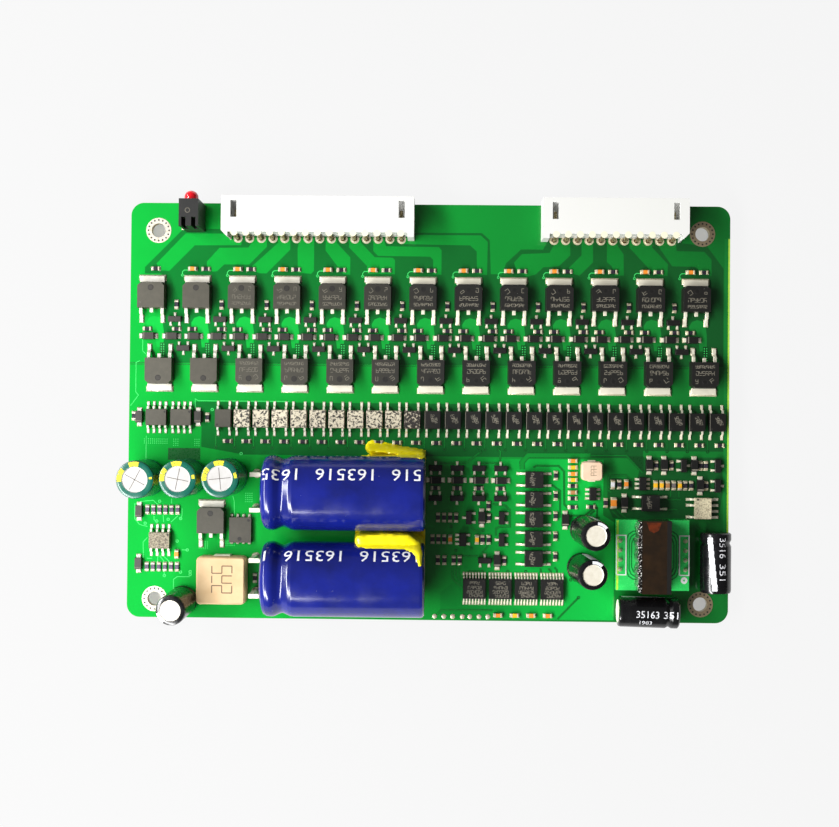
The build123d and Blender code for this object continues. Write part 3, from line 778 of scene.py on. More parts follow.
@dataclass
class Studio:
    """The plain floor, the soft light and the camera above the board.

    Attributes:
        lens: the focal length for a sensor of the given width.
        eye: the camera's place in millimetres.
        turn: the camera's angles in degrees.
        shaded: half the length and width of the floor under the board, which looks shaded.
        under_board: how much of the floor's glow is left there.
    """

    lens: float = 57.5
    sensor: float = 36.0
    eye: Triple = (2.42, -3.17, 291.9)
    turn: Triple = (0.7616, 0.8405, 0.5295)
    floor_size: float = 3000.0
    floor_shadow: float = 0.025
    floor_glow: float = 0.915
    shaded: Point = (62.5, 42.0)
    under_board: float = 0.42
    key_place: Triple = (-190.0, -75.0, 195.0)
    key_size: Point = (600.0, 50.0)
    key_power: float = 3.0
    ambient: Point = (0.26, 0.09)

    def camera(self) -> None:
        """Place the camera where the photograph was taken from."""
        data = bpy.data.cameras.new("camera")
        data.lens = self.lens
        data.sensor_width = self.sensor
        data.sensor_fit = "HORIZONTAL"
        data.clip_start = 1 * MM
        camera = bpy.data.objects.new("camera", data)
        camera.location = Vector(self.eye) * MM
        camera.rotation_euler = [math.radians(a) for a in self.turn]
        bpy.context.scene.collection.objects.link(camera)
        bpy.context.scene.camera = camera

    def floor(self, level: float) -> None:
        """Lay the white floor under the part.

        Args:
            level: the height of the floor in millimetres.
        """
        half = self.floor_size / 2
        mesh = bpy.data.meshes.new("floor")
        corners = [(-half, -half), (half, -half), (half, half), (-half, half)]
        mesh.from_pydata([Vector((x, y, level)) * MM for x, y in corners], [], [(0, 1, 2, 3)])
        made = bpy.data.materials.new("floor_paper")
        made.use_nodes = True
        tree = made.node_tree
        tree.nodes.clear()
        rays = add(tree, "ShaderNodeLightPath").outputs
        seen = {0: rays["Is Camera Ray"], 1: rays["Is Glossy Ray"]}
        seen = add(tree, "ShaderNodeMath", seen, operation="MAXIMUM").outputs[0]
        seen = {0: seen, 1: rays["Is Transmission Ray"]}
        seen = add(tree, "ShaderNodeMath", seen, operation="MAXIMUM").outputs[0]
        place = add(tree, "ShaderNodeTexCoord").outputs["Object"]
        split = add(tree, "ShaderNodeSeparateXYZ", {0: place}).outputs
        outside = {}
        for axis, reach in enumerate(self.shaded):
            off_middle = add(tree, "ShaderNodeMath", {0: split[axis]}, operation="ABSOLUTE").outputs[0]
            beyond = {0: off_middle, 1: reach * MM}
            outside[axis] = add(tree, "ShaderNodeMath", beyond, operation="GREATER_THAN").outputs[0]
        bare = add(tree, "ShaderNodeMath", outside, operation="MAXIMUM").outputs[0]
        bare = add(tree, "ShaderNodeMapRange", {"Value": bare, "To Min": self.under_board}).outputs[0]
        share = add(tree, "ShaderNodeMath", {0: seen, 1: bare}, operation="MULTIPLY").outputs[0]
        share = {0: share, 1: 1 - self.floor_shadow}
        share = add(tree, "ShaderNodeMath", share, operation="MULTIPLY").outputs[0]
        paper = add(tree, "ShaderNodeBsdfDiffuse", {"Color": linear(STAGE_WHITE)}).outputs[0]
        light = {"Color": linear("FFFFFF"), "Strength": self.floor_glow}
        glow = add(tree, "ShaderNodeEmission", light).outputs[0]
        mixed = add(tree, "ShaderNodeMixShader", {0: share, 1: paper, 2: glow}).outputs[0]
        add(tree, "ShaderNodeOutputMaterial", {"Surface": mixed})
        mesh.materials.append(made)
        floor = bpy.data.objects.new("floor", mesh)
        bpy.context.scene.collection.objects.link(floor)
        floor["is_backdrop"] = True

    def light(self) -> None:
        """Set a long strip lamp at the left, like a window, and a world that darkens to the right."""
        lamp = bpy.data.lights.new("window_panel", "AREA")
        lamp.shape = "RECTANGLE"
        lamp.size = self.key_size[0] * MM
        lamp.size_y = self.key_size[1] * MM
        lamp.energy = self.key_power
        made = bpy.data.objects.new("window_panel", lamp)
        made.location = Vector(self.key_place) * MM
        made.rotation_euler = Vector(self.key_place).to_track_quat("Z", "Y").to_euler()
        bpy.context.scene.collection.objects.link(made)
        world = bpy.data.worlds.new("soft_room")
        world.use_nodes = True
        tree = world.node_tree
        tree.nodes.clear()
        way = add(tree, "ShaderNodeTexCoord").outputs["Generated"]
        across = add(tree, "ShaderNodeSeparateXYZ", {0: way}).outputs["X"]
        left, right = self.ambient
        limits = {"Value": across, "From Min": -0.5, "From Max": 0.5, "To Min": left, "To Max": right}
        level = add(tree, "ShaderNodeMapRange", limits).outputs[0]
        glow = add(tree, "ShaderNodeBackground", {"Color": linear("FFFFFF"), "Strength": level}).outputs[0]
        add(tree, "ShaderNodeOutputWorld", {"Surface": glow})
        bpy.context.scene.world = world

    def build(self, level: float) -> None:
        """Set the whole studio over a floor at the given height."""
        self.camera()
        self.floor(level)
        self.light()
        bpy.context.scene.view_settings.view_transform = "Standard"
        LOG.info("studio: floor at %.2f mm", level)


@dataclass
class BoardFace:
    """The board's copper, holes, vias and edge, seen through the mask.

    The areas and tracks are drawn after the photograph: each is a list of corners or bends.
    """

    film: float = 0.02
    ring_radius: float = 2.75
    hole_radius: float = 1.6
    dot_count: int = 16
    dot_radius: float = 0.2
    dot_circle: float = 2.25
    hole_spacing: Point = (118.0, 80.0)
    top: float = BOARD_TOP
    # A hole's plating: how far it stands out of the wall and goes into it.
    barrel: Point = (0.05, 0.02)
    # From each upper switch: the dark slot beside it, and two slits with their half width in Y.
    slot: tuple[Point, Point] = ((1.7, 2.8), (-13.6, -10.2))
    slits: Triple = (-14.6, -14.95, 0.06)
    slit_reach: Point = (-4.8, -1.4)
    # The bright strip and the pale line of laminate at the board's right edge.
    rail: Point = (63.8, 64.6)
    edge_line: Point = (64.62, 64.98)
    rail_reach: Point = (-36.0, 39.0)
    hollow: float = 0.22
    fine: float = 0.14
    cell_via: Point = (-3.4, 4.5)
    cell_via_start: Point = (2.0, -13.2)
    # From each optocoupler: its track in X, the track's two ends and its via in Y.
    opto_track: tuple[float, ...] = (-1.75, -1.6, -4.1, -4.35)
    grid_pitch: float = 0.45
    small_vias: Point = (0.14, 0.12)

    CONNECTOR_POURS = [
        [(-53.1, 39.4), (-59.4, 32.8), (-58.6, 31.3), (-56.6, 31.2), (-51.1, 36.8), (-41.0, 36.9),
         (-40.6, 39.4)],
        [(-45.7, 36.3), (-48.4, 33.3), (-48.4, 32.2), (-47.2, 31.1), (-46.2, 31.2), (-44.6, 32.7),
         (-39.2, 32.7), (-35.4, 36.6), (-35.4, 38.6), (-38.0, 38.6), (-39.4, 36.4)],
        [(-32.9, 37.5), (-38.6, 32.3), (-38.4, 31.5), (-37.0, 30.8), (-35.4, 30.8), (-30.3, 36.0),
         (-30.3, 38.6), (-32.9, 38.6)],
        [(-28.2, 38.6), (-28.7, 36.3), (-28.6, 31.0), (-25.7, 30.8), (-25.1, 31.4), (-25.1, 38.6)],
        [(-22.6, 38.6), (-22.6, 35.9), (-18.7, 30.8), (-17.2, 30.6), (-17.2, 34.4), (-20.2, 37.6),
         (-20.2, 38.6)],
        [(-17.5, 38.6), (-17.5, 36.6), (-13.6, 32.6), (-13.4, 30.9), (-7.5, 30.8), (-7.5, 33.9), (-8.0, 34.4),
         (-11.9, 34.5), (-15.0, 37.7), (-15.0, 38.6)],
        [(-12.3, 38.6), (-12.2, 35.8), (-11.2, 34.8), (0.1, 34.7), (0.8, 34.0), (0.8, 30.9), (2.6, 30.8),
         (2.6, 36.1), (2.0, 36.8), (-9.5, 36.9), (-10.0, 38.6)],
        [(-7.3, 38.6), (-6.0, 37.4), (8.8, 37.2), (10.2, 35.9), (10.3, 31.0), (12.5, 30.8), (12.6, 38.0),
         (11.1, 39.4), (-7.3, 39.4)],
        [(20.0, 35.4), (18.3, 33.5), (19.0, 31.6), (21.2, 30.5), (23.0, 31.0), (24.7, 32.6), (28.0, 32.8),
         (30.5, 35.2), (30.4, 38.6), (27.6, 38.6), (26.0, 35.7)],
        [(32.9, 38.6), (32.9, 35.2), (30.2, 32.5), (30.2, 31.4), (32.5, 30.8), (35.4, 33.7), (35.4, 38.6)],
        [(38.4, 38.6), (38.4, 33.8), (39.5, 32.9), (40.1, 30.9), (42.1, 30.9), (42.0, 35.5), (40.6, 37.6),
         (40.6, 38.6)],
        [(43.2, 38.6), (43.2, 37.0), (47.8, 32.1), (49.6, 30.9), (51.5, 30.9), (51.6, 33.4), (48.2, 37.0),
         (48.2, 38.6)],
        [(49.2, 38.6), (49.5, 37.3), (52.5, 33.0), (57.4, 32.9), (58.6, 32.0), (61.0, 30.9), (61.0, 34.5),
         (59.4, 36.2), (53.5, 36.3), (53.1, 38.6)],
    ]
    BARE_FIELDS = [
        [(-61.9, 30.6), (63.6, 30.6), (63.6, 32.5), (60.0, 37.4), (54.6, 38.0), (54.6, 40.4), (26.6, 40.4),
         (24.6, 36.4), (19.8, 36.4), (16.6, 33.4), (15.7, 31.0), (13.3, 31.0), (13.0, 38.4), (11.3, 39.9),
         (-7.8, 39.9), (-7.8, 40.4), (-43.8, 40.4), (-53.6, 40.4), (-61.9, 32.0)],
        [(-58.3, 30.6), (-58.3, 11.3), (63.6, 11.3), (63.6, 30.6)],
        [(-51.0, 2.4), (-50.6, 2.8), (64.9, 2.8), (64.9, -7.0), (46.5, -7.0), (46.5, -8.6), (-40.0, -8.6),
         (-49.2, -7.0), (-49.2, -1.5), (-51.0, -3.2)],
        [(46.4, -8.4), (63.5, -8.3), (63.7, -15.8), (62.8, -21.5), (40.1, -21.5), (38.9, -19.0),
         (38.9, -12.8), (45.3, -13.1)],
    ]
    # The area that takes the painted pool of light.
    LIT_FIELD = [
        (8.0, -9.0), (38.0, -9.0), (38.0, -21.0), (40.4, -22.5), (40.4, -43.6), (3.0, -43.6), (3.0, -38.0),
        (8.0, -34.0),
    ]
    HOLLOWS = [
        [(-56.4, -7.3), (-56.4, -9.9), (-49.4, -9.9), (-49.4, -7.3)],
        [(43.1, -8.2), (46.6, -11.7), (46.6, -8.2)],
    ]
    CELL_POUR = [
        (1.0, -11.2), (2.5, -11.2), (2.5, -7.6), (2.2, -5.6), (1.5, -4.7), (0.4, -4.4), (-0.7, -4.8),
        (-1.3, -5.8), (-1.3, -6.8), (-0.6, -7.8), (0.6, -8.2),
    ]
    CELL_TRACK = [(-2.1, 5.6), (-3.0, 5.6), (-3.4, 5.2), (-3.4, 4.7)]
    CELL_VIAS = (2, 6)
    CELL_VIA_PITCH = 0.52
    LIGHT_TRACKS = [
        [(-62.3, -19.0), (-59.5, -18.7), (-58.4, -19.7)],
        [(-63.5, -19.4), (-63.5, -22.7), (-62.4, -24.0), (-60.7, -24.4)], [(-55.5, -18.3), (-55.5, -19.4)],
        [(-59.3, -22.1), (-59.3, -22.9), (-58.7, -23.4)], [(-57.3, -21.9), (-57.2, -23.4)],
        [(-54.1, -22.0), (-55.6, -23.4)], [(-53.2, -20.4), (-53.2, -22.0), (-53.6, -22.6)],
        [(-60.7, -26.8), (-61.6, -27.8), (-61.5, -31.3)], [(-58.4, -31.0), (-58.4, -32.1)],
        [(-58.0, -30.7), (-56.9, -32.0)], [(-57.2, -30.7), (-55.8, -32.0)],
        [(-60.7, -31.3), (-59.6, -31.3)], [(-53.2, -29.4), (-52.0, -29.4)],
        [(-57.0, -33.7), (-56.9, -34.9)], [(-54.9, -37.9), (-54.9, -35.8), (-54.1, -35.2), (-51.4, -35.2)],
        [(-42.2, -17.6), (-41.9, -18.7), (-41.8, -22.5)], [(-62.2, 16.7), (-62.2, 13.7), (-61.4, 13.0)],
        [(-62.8, 11.6), (-63.6, 11.2), (-63.6, 4.8), (-63.0, 4.1), (-64.7, 1.8)],
        [(-50.6, 1.4), (-50.6, 3.4), (-50.0, 3.0), (-30.2, 3.0)], [(-61.2, -4.7), (-61.2, -10.0)],
    ]
    LIGHT_VIAS = [
        (-58.1, -18.9), (-58.7, -23.2), (-56.2, -22.8), (-53.5, -22.6), (-61.2, -23.7), (-52.0, -29.4),
        (-54.2, -27.5), (-53.4, -34.2), (-56.9, -35.0), (-51.3, -34.1), (-51.3, -34.7), (-46.9, 1.1),
        (-40.5, -8.4),
    ]
    TRACKS = [
        [(2.6, -10.0), (8.5, -9.9), (11.4, -7.5)], [(10.9, -9.9), (15.6, -9.9), (15.7, -7.4), (15.2, -6.9)],
        [(9.3, -23.6), (10.2, -24.5), (12.1, -24.5)],
        [(14.9, -25.6), (14.9, -24.1), (15.7, -23.7), (17.9, -23.6), (17.9, -20.1), (16.9, -19.1),
         (14.1, -18.8)], [(7.8, -30.1), (11.1, -30.1)], [(5.6, -32.0), (5.6, -34.9), (7.8, -37.1)],
        [(6.3, -32.0), (6.3, -34.5), (7.8, -36.0)], [(6.9, -32.0), (7.0, -34.1), (7.8, -35.1)],
        [(24.6, -32.6), (24.6, -34.4)], [(26.3, -32.6), (26.8, -33.2), (26.8, -34.4)],
        [(27.6, -32.3), (28.1, -32.9), (28.1, -34.4)], [(2.3, -42.8), (3.2, -41.8), (14.3, -41.7)],
        [(28.3, -43.5), (32.8, -38.8)], [(28.7, -21.6), (28.7, -15.8), (26.9, -14.5)],
        [(12.0, -29.3), (13.1, -28.0), (13.1, -27.2)],
        [(31.1, -21.1), (34.0, -21.1), (36.1, -19.4), (36.1, -18.3)],
        [(37.3, -21.5), (36.6, -21.5), (35.1, -23.1)],
        [(22.8, -10.8), (23.5, -10.4), (28.3, -10.4), (29.5, -11.6), (29.6, -18.7), (30.4, -19.5)],
        [(39.7, -16.0), (39.0, -15.5), (39.0, -12.8), (39.5, -12.4), (42.8, -12.3), (43.9, -13.4),
         (45.3, -13.1)], [(39.9, -20.0), (41.7, -21.6)], [(40.6, -19.4), (43.0, -21.6)],
        [(51.3, -17.1), (52.1, -17.5), (54.7, -17.4)], [(51.6, -19.7), (54.0, -19.5)],
        [(52.5, -15.4), (52.5, -16.9)], [(54.3, -15.4), (54.3, -16.9)],
        [(36.7, -19.2), (36.7, -21.6), (35.7, -22.6)], [(35.2, -20.8), (36.2, -20.0)],
        [(35.1, -8.1), (42.9, -8.0), (46.4, -11.7)],
    ]
    WIDE_TRACK = [(20.5, -11.2), (20.4, -9.7), (21.7, -8.2), (35.2, -8.1)]
    VIAS = [
        (11.4, -7.5), (15.2, -6.9), (10.8, -6.9), (12.1, -24.5), (6.3, -28.9), (9.6, -28.4), (9.4, -33.4),
        (10.3, -33.4), (11.1, -33.4), (12.0, -33.4), (17.5, -33.3), (21.4, -33.3), (32.8, -38.8),
        (31.1, -35.0), (32.0, -35.0), (5.2, -23.7),
    ]
    BARE_PADS = [1.8, 3.8, 5.7, 7.8, 9.4, 11.4, 13.3]
    BARE_PAD_Y = -43.15
    BARE_PAD_DOME = [(0.55, 0.0), (0.45, 0.12), (0.2, 0.2)]
    VIA_GRIDS = [
        ((-61.6, -5.4), (12, 3)), ((-55.2, -5.4), (3, 4)), ((-50.6, -5.4), (3, 4)),
        ((-48.2, -20.4), (4, 5)), ((-39.4, -17.0), (4, 5)), ((-49.4, -27.6), (5, 4)),
        ((-43.6, -27.4), (5, 3)), ((-46.5, -15.9), (5, 2)),
    ]

    def copper(self, cells: list[Solid]) -> Form:
        """Return the copper areas as thin raised fields.

        Args:
            cells: the upper switches, one for each cell.

        Returns:
            The fields, in the finishes plain, bare, bright, hollow, edge and painted light.
        """
        form = Form()
        low, z = self.top - self.film, self.top + self.film
        for outline in self.BARE_FIELDS:
            form.prism(outline, low, z - PRINT_FILM, 1)
        for outline in self.CONNECTOR_POURS:
            form.prism(outline, low, z)
        # Painted light: the mask here brightens towards the right.
        form.prism(self.LIT_FIELD, low, z - PRINT_FILM, 5)
        for outline in self.HOLLOWS:
            form.prism(outline, low, z, 3)
        across, along = self.slot
        *lines, half = self.slits
        for cell in cells:
            x, y = cell.centre.x, cell.centre.y
            form.prism([(x + a, y + b) for a, b in self.CELL_POUR], low, z, 2)
            form.block((x + across[0], x + across[1]), (y + along[0], y + along[1]), (low, z + 0.004), 3)
            reach = (x + self.slit_reach[0], x + self.slit_reach[1])
            for line in lines:
                form.block(reach, (y + line - half, y + line + half), (low, z), 3)
        form.block(self.rail, self.rail_reach, (low, z), 2)
        form.block(self.edge_line, self.rail_reach, (low, z), 4)
        return form

    def track(self, form: Form, path: Outline, width: float = 0.2) -> None:
        """Add a track under the mask: a dark hollow on each side of its lighter crown.

        Args:
            form: the form that takes it.
            path: its centreline.
            width: its width.
        """
        z = self.top + self.film + 0.006
        form.prism(stroke(path, width + self.hollow), self.top, z, 1)
        form.prism(stroke(path, width), self.top, z + 0.004, 0)

    def via(
        self, form: Form, x: float, y: float, finish: int, radii: Point = (0.17, 0.34)
    ) -> None:
        """Add a via under the mask as a thin ring."""
        form.ring(x, y, self.top + self.film + 0.014, radii, finish, 0.03)

    def tracks(self, cells: list[Solid], optos: list[Solid]) -> Form:
        """Return the fine tracks, the vias and the small bare pads.

        Args:
            cells: the upper switches.
            optos: the optocouplers of the row.

        Returns:
            The tracks, in the finishes plain, hollow, light and tin.
        """
        form = Form()
        z = self.top + self.film + 0.01
        for path in self.TRACKS:
            self.track(form, path)
        self.track(form, self.WIDE_TRACK, 0.9)
        for path in self.LIGHT_TRACKS:
            form.prism(stroke(path, 0.13), self.top, z, 2)
        for x, y in self.LIGHT_VIAS:
            self.via(form, x, y, 2)
        for x, y in self.VIAS:
            self.via(form, x, y, 1)
        for cell in cells[1:]:
            x, y = cell.centre.x, cell.centre.y
            form.prism(stroke([(x + a, y + b) for a, b in self.CELL_TRACK], self.fine), self.top, z, 2)
            self.via(form, x + self.cell_via[0], y + self.cell_via[1], 2, (0.16, 0.28))
        under_switch, in_grid = self.small_vias
        for cell in cells:
            for i in range(self.CELL_VIAS[0]):
                for j in range(self.CELL_VIAS[1]):
                    x = cell.centre.x + self.cell_via_start[0] + i * self.CELL_VIA_PITCH
                    y = cell.centre.y + self.cell_via_start[1] + j * self.CELL_VIA_PITCH
                    form.prism(circle(x, y, under_switch, 6), self.top, z + 0.004, 2)
        aside, start, end, last = self.opto_track
        for opto in optos:
            x, y = opto.centre.x + aside, opto.low.y
            self.track(form, [(x, y + start), (x, y + end)], self.fine)
            self.via(form, x, y + last, 1)
        pitch = self.grid_pitch
        for (x, y), (across, along) in self.VIA_GRIDS:
            for i in range(across):
                for j in range(along):
                    form.prism(circle(x + pitch * i, y - pitch * j, in_grid, 6), self.top, z, 2)
        bare_pad = Form().lathe(list(self.BARE_PAD_DOME), 16, [3, 3])
        for x in self.BARE_PADS:
            form.add(bare_pad, at(x, self.BARE_PAD_Y, self.top))
        return form

    def mounting_rings(self) -> Form:
        """Return the plated rings of the four holes, their barrels and their small dots of painted shade."""
        form = Form()
        across, along = self.hole_spacing
        inner, outer = self.hole_radius - self.barrel[0], self.hole_radius + self.barrel[1]
        z = self.top + 0.05
        for x in (-across / 2, across / 2):
            for y in (-along / 2, along / 2):
                form.ring(x, y, z, (inner, self.ring_radius), 0, 0.07)
                form.ring(x, y, 0.02, (inner, self.ring_radius), 0, 0.07)
                form.ring(x, y, self.top, (inner, outer), 2, self.top)
                for dot in circle(x, y, self.dot_circle, self.dot_count):
                    # Painted shade where the ring's small holes are.
                    form.prism(circle(*dot, self.dot_radius, 8), z - PRINT_FILM, z + PRINT_FILM, 1)
        return form

    def build(self, bench: Bench) -> None:
        """Build the copper and the holes.

        Args:
            bench: where pieces are made.
        """
        bench.dress("circuit_board", MASK_ON_COPPER)
        cells = bench.solids("upper_switch_bodies")
        skins = [MASK_ON_COPPER, MASK_ON_LAMINATE, MASK_BRIGHT, MASK_HOLLOW, LAMINATE_EDGE, MASK_LIT]
        bench.piece("masked_copper", self.copper(cells), skins)
        tracks = self.tracks(cells, bench.solids("optocoupler_row_bodies"))
        skins = [MASK_ON_COPPER, MASK_HOLLOW, MASK_TRACK, SOLDER]
        bench.piece("masked_tracks", tracks, skins)
        rings = self.mounting_rings()
        bench.piece("mounting_rings", rings, [PLATED_RING, DIMPLE_SHADE, TINNED_BRASS])


@dataclass
class SwitchRow:
    """A row of power switches: case, tab, two bent leads, the cut middle lead and their solder.

    Attributes:
        prefix: the name of the nodes before _bodies and _leadframes.
        turn: the row's turn in degrees; at 0 the tab points along +Y.
        seed: the seed of the marking.
        dimple: the ejector mark's radius, its place along Y and its depth.
        lead_path: the bends of a lead: distance from the case and height.
        foot_solder: the solder at a foot: half its width, and where it begins and ends.
        rows: the marking rows: count of glyphs, place, glyph size and turn.
    """

    prefix: str
    turn: float
    seed: int
    plain: int = 2
    case: Triple = (6.1, 5.8, 2.3)
    corner: float = 0.75
    draft: float = 0.16
    dimple: Triple = (0.62, 1.55, 0.05)
    tab: Triple = (5.3, 1.3, 0.5)
    lead_spread: float = 2.29
    lead: Point = (0.72, 0.3)
    lead_path: tuple[Point, ...] = ((-0.1, 1.05), (0.95, 1.0), (1.55, 0.28), (2.85, 0.2))
    stub: Point = (0.75, 0.85)
    edge_solder: float = 0.35
    foot_solder: Triple = (0.55, 1.35, 3.1)
    rows: tuple[tuple[int, Point, Point, float], ...] = (
        (6, (0.1, -0.35), (0.5, 0.85), 0), (9, (0.1, -1.75), (0.34, 0.6), 0),
        (1, (1.9, 1.4), (0.5, 0.9), 0), (1, (-1.4, 1.3), (0.8, 0.9), 35))

    def case_form(self) -> Form:
        """Return the moulded case with its round ejector mark, drawn as a flat ring and disc of painted
        shade.
        """
        w, d, h = self.case[0] / 2, self.case[1] / 2, self.case[2]
        c = self.corner
        outline = [(-w, -d), (w, -d), (w, d - c), (w - c, d), (-w + c, d), (-w, d - c)]
        form = Form().prism(outline, 0.0, h, 0, self.draft)
        radius, offset, depth = self.dimple
        # The ejector mark's ring and its middle are painted shade.
        form.ring(0, offset, h + depth / 2, (radius - 0.12, radius), 1, depth)
        form.disc(0, offset, h + depth / 4, radius - 0.12, 2, depth / 2)
        return form

    def frame_form(self) -> Form:
        """Return the tab, the two bent leads and the cut middle lead."""
        width, reach, thick = self.tab
        edge = self.case[1] / 2
        form = Form().block((-width / 2, width / 2), (edge - 0.1, edge + reach), (0.05, thick))
        path = stroke([(-edge - out, height) for out, height in self.lead_path], self.lead[1])
        for side in (-1, 1):
            x = side * self.lead_spread
            form.sideways(path, (x - self.lead[0] / 2, x + self.lead[0] / 2))
        wide, long = self.stub
        form.block((-wide / 2, wide / 2), (-edge - long, -edge + 0.1), (0.85, 1.2))
        return form

    def solder_form(self) -> Form:
        """Return the solder round the tab and under the two feet."""
        width, reach, _ = self.tab
        edge, out = self.case[1] / 2, self.edge_solder
        half, near, far = self.foot_solder
        form = Form()
        form.block((-width / 2 - out, width / 2 + out), (edge + 0.2, edge + reach + out), (0.0, 0.3), 0, 0.2)
        for side in (-1, 1):
            x = side * self.lead_spread
            form.block((x - half, x + half), (-edge - far, -edge - near), (0.0, 0.24), 0, 0.14)
        return form

    def build(self, bench: Bench) -> None:
        """Build every switch of the row.

        Args:
            bench: where pieces are made.
        """
        rng = random.Random(self.seed)
        case, frame, solder = self.case_form(), self.frame_form(), self.solder_form()
        cases, frames, fillets, marks = Form(), Form(), Form(), Form()
        marking = Marking()
        for i, solid in enumerate(bench.solids(self.prefix + "_bodies")):
            spot = solid.place(self.turn)
            cases.add(case, spot)
            frames.add(frame, spot)
            fillets.add(solder, spot)
            for count, middle, glyph, angle in self.rows if i >= self.plain else ():
                marks.add(marking.row(rng, count, middle, self.case[2], glyph, angle), spot)
        name, skins = self.prefix, [MOULDED_EPOXY, DIMPLE_SHADE, DARK_EPOXY]
        bench.piece(name + "_cases", cases, skins, (name + "_bodies",), 0.07)
        bench.piece(name + "_strip", frames, [TINNED_STRIP], (name + "_leadframes",), 0.05)
        bench.piece(name + "_solder", fillets, [SOLDER], (), 0.05)
        if marks.faces:
            bench.piece(name + "_marks", marks, [LASER_MARK])


@dataclass
class Lead:
    """A bent lead that leaves a case along +Y and stands on the board.

    Attributes:
        reach: how far its foot ends from the case.
        rise: the height at which it leaves the case.
        width: its width.
        thick: its thickness.
    """

    reach: float
    rise: float
    width: float
    thick: float = 0.16

    def form(self) -> Form:
        """Return the lead, and the solder round its foot as finish 1."""
        low = self.thick / 2 + 0.05
        path = [(-0.1, self.rise), (self.reach * 0.3, self.rise), (self.reach * 0.52, low), (self.reach, low)]
        form = Form().sideways(stroke(path, self.thick), (-self.width / 2, self.width / 2))
        side = self.width / 2 + 0.1
        return form.block((-side, side), (self.reach * 0.45, self.reach + 0.2), (0, 0.16), 1, 0.08)


@dataclass
class Package:
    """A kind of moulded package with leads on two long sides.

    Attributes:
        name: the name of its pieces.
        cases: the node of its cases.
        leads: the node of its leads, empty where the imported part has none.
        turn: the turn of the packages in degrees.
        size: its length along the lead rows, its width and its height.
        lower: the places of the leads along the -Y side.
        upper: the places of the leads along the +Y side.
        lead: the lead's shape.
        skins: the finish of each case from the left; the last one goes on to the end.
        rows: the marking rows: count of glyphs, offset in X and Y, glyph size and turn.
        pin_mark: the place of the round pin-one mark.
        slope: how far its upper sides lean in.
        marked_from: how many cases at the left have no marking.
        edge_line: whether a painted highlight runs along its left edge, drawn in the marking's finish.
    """

    name: str
    cases: str
    leads: str
    turn: float
    size: Triple
    lower: list[float]
    upper: list[float]
    lead: Lead
    skins: list[Finish]
    rows: list[tuple[int, float, float, float, float, float]] = field(default_factory=list)
    pin_mark: Point = (-1.1, -1.2)
    slope: float = 0.1
    marked_from: int = 0
    edge_line: bool = False

    def case(self, skin: int) -> Form:
        """Return one case: a draft from the parting line both ways.

        Args:
            skin: the number of its finish.

        Returns:
            The case with its pin-one mark, a disc of painted shade.
        """
        w, d, h = self.size[0] / 2, self.size[1] / 2, self.size[2]
        part = h * 0.45
        outline = [(-w, -d), (w, -d), (w, d), (-w, d)]
        form = Form().prism(outline, part, h, skin, self.slope)
        under = [(x * 0.96, y * 0.96) for x, y in outline]
        form.prism(under, 0.05, part, skin)
        return form.disc(*self.pin_mark, h + PRINT_FILM, 0.22, len(self.skins))

    def build(self, bench: Bench) -> None:
        """Build every package of this kind.

        Args:
            bench: where pieces are made.
        """
        rng = random.Random(len(self.name))
        one = self.lead.form()
        legs, cases, marks = Form(), Form(), Form()
        half = self.size[1] / 2
        for x in self.lower:
            legs.add(one, at(x, -half, 0, 180))
        for x in self.upper:
            legs.add(one, at(x, half))
        all_legs = Form()
        marking = Marking()
        for i, solid in enumerate(bench.solids(self.cases)):
            spot = solid.place(self.turn)
            cases.add(self.case(min(i, len(self.skins) - 1)), spot)
            all_legs.add(legs, spot)
            if i < self.marked_from:
                continue
            # A painted highlight along the left edge, drawn in the marking's finish.
            if self.edge_line:
                edge, long = -self.size[0] / 2 + 0.14, self.size[1] / 2 - 0.12
                levels = (self.size[2] - PRINT_FILM, self.size[2] + PRINT_FILM)
                marks.add(Form().block((edge, edge + 0.08), (-long, long), levels), spot)
            for count, x, y, width, height, angle in self.rows:
                marks.add(marking.row(rng, count, (x, y), self.size[2], (width, height), angle), spot)
        skins = [*self.skins, DIMPLE_SHADE]
        bench.piece(self.name + "_cases", cases, skins, (self.cases,), 0.05)
        replaced = (self.leads,) if self.leads else ()
        bench.piece(self.name + "_pins", all_legs, [TINNED_STRIP, SOLDER], replaced)
        if marks.faces:
            bench.piece(self.name + "_marks", marks, [LASER_MARK])


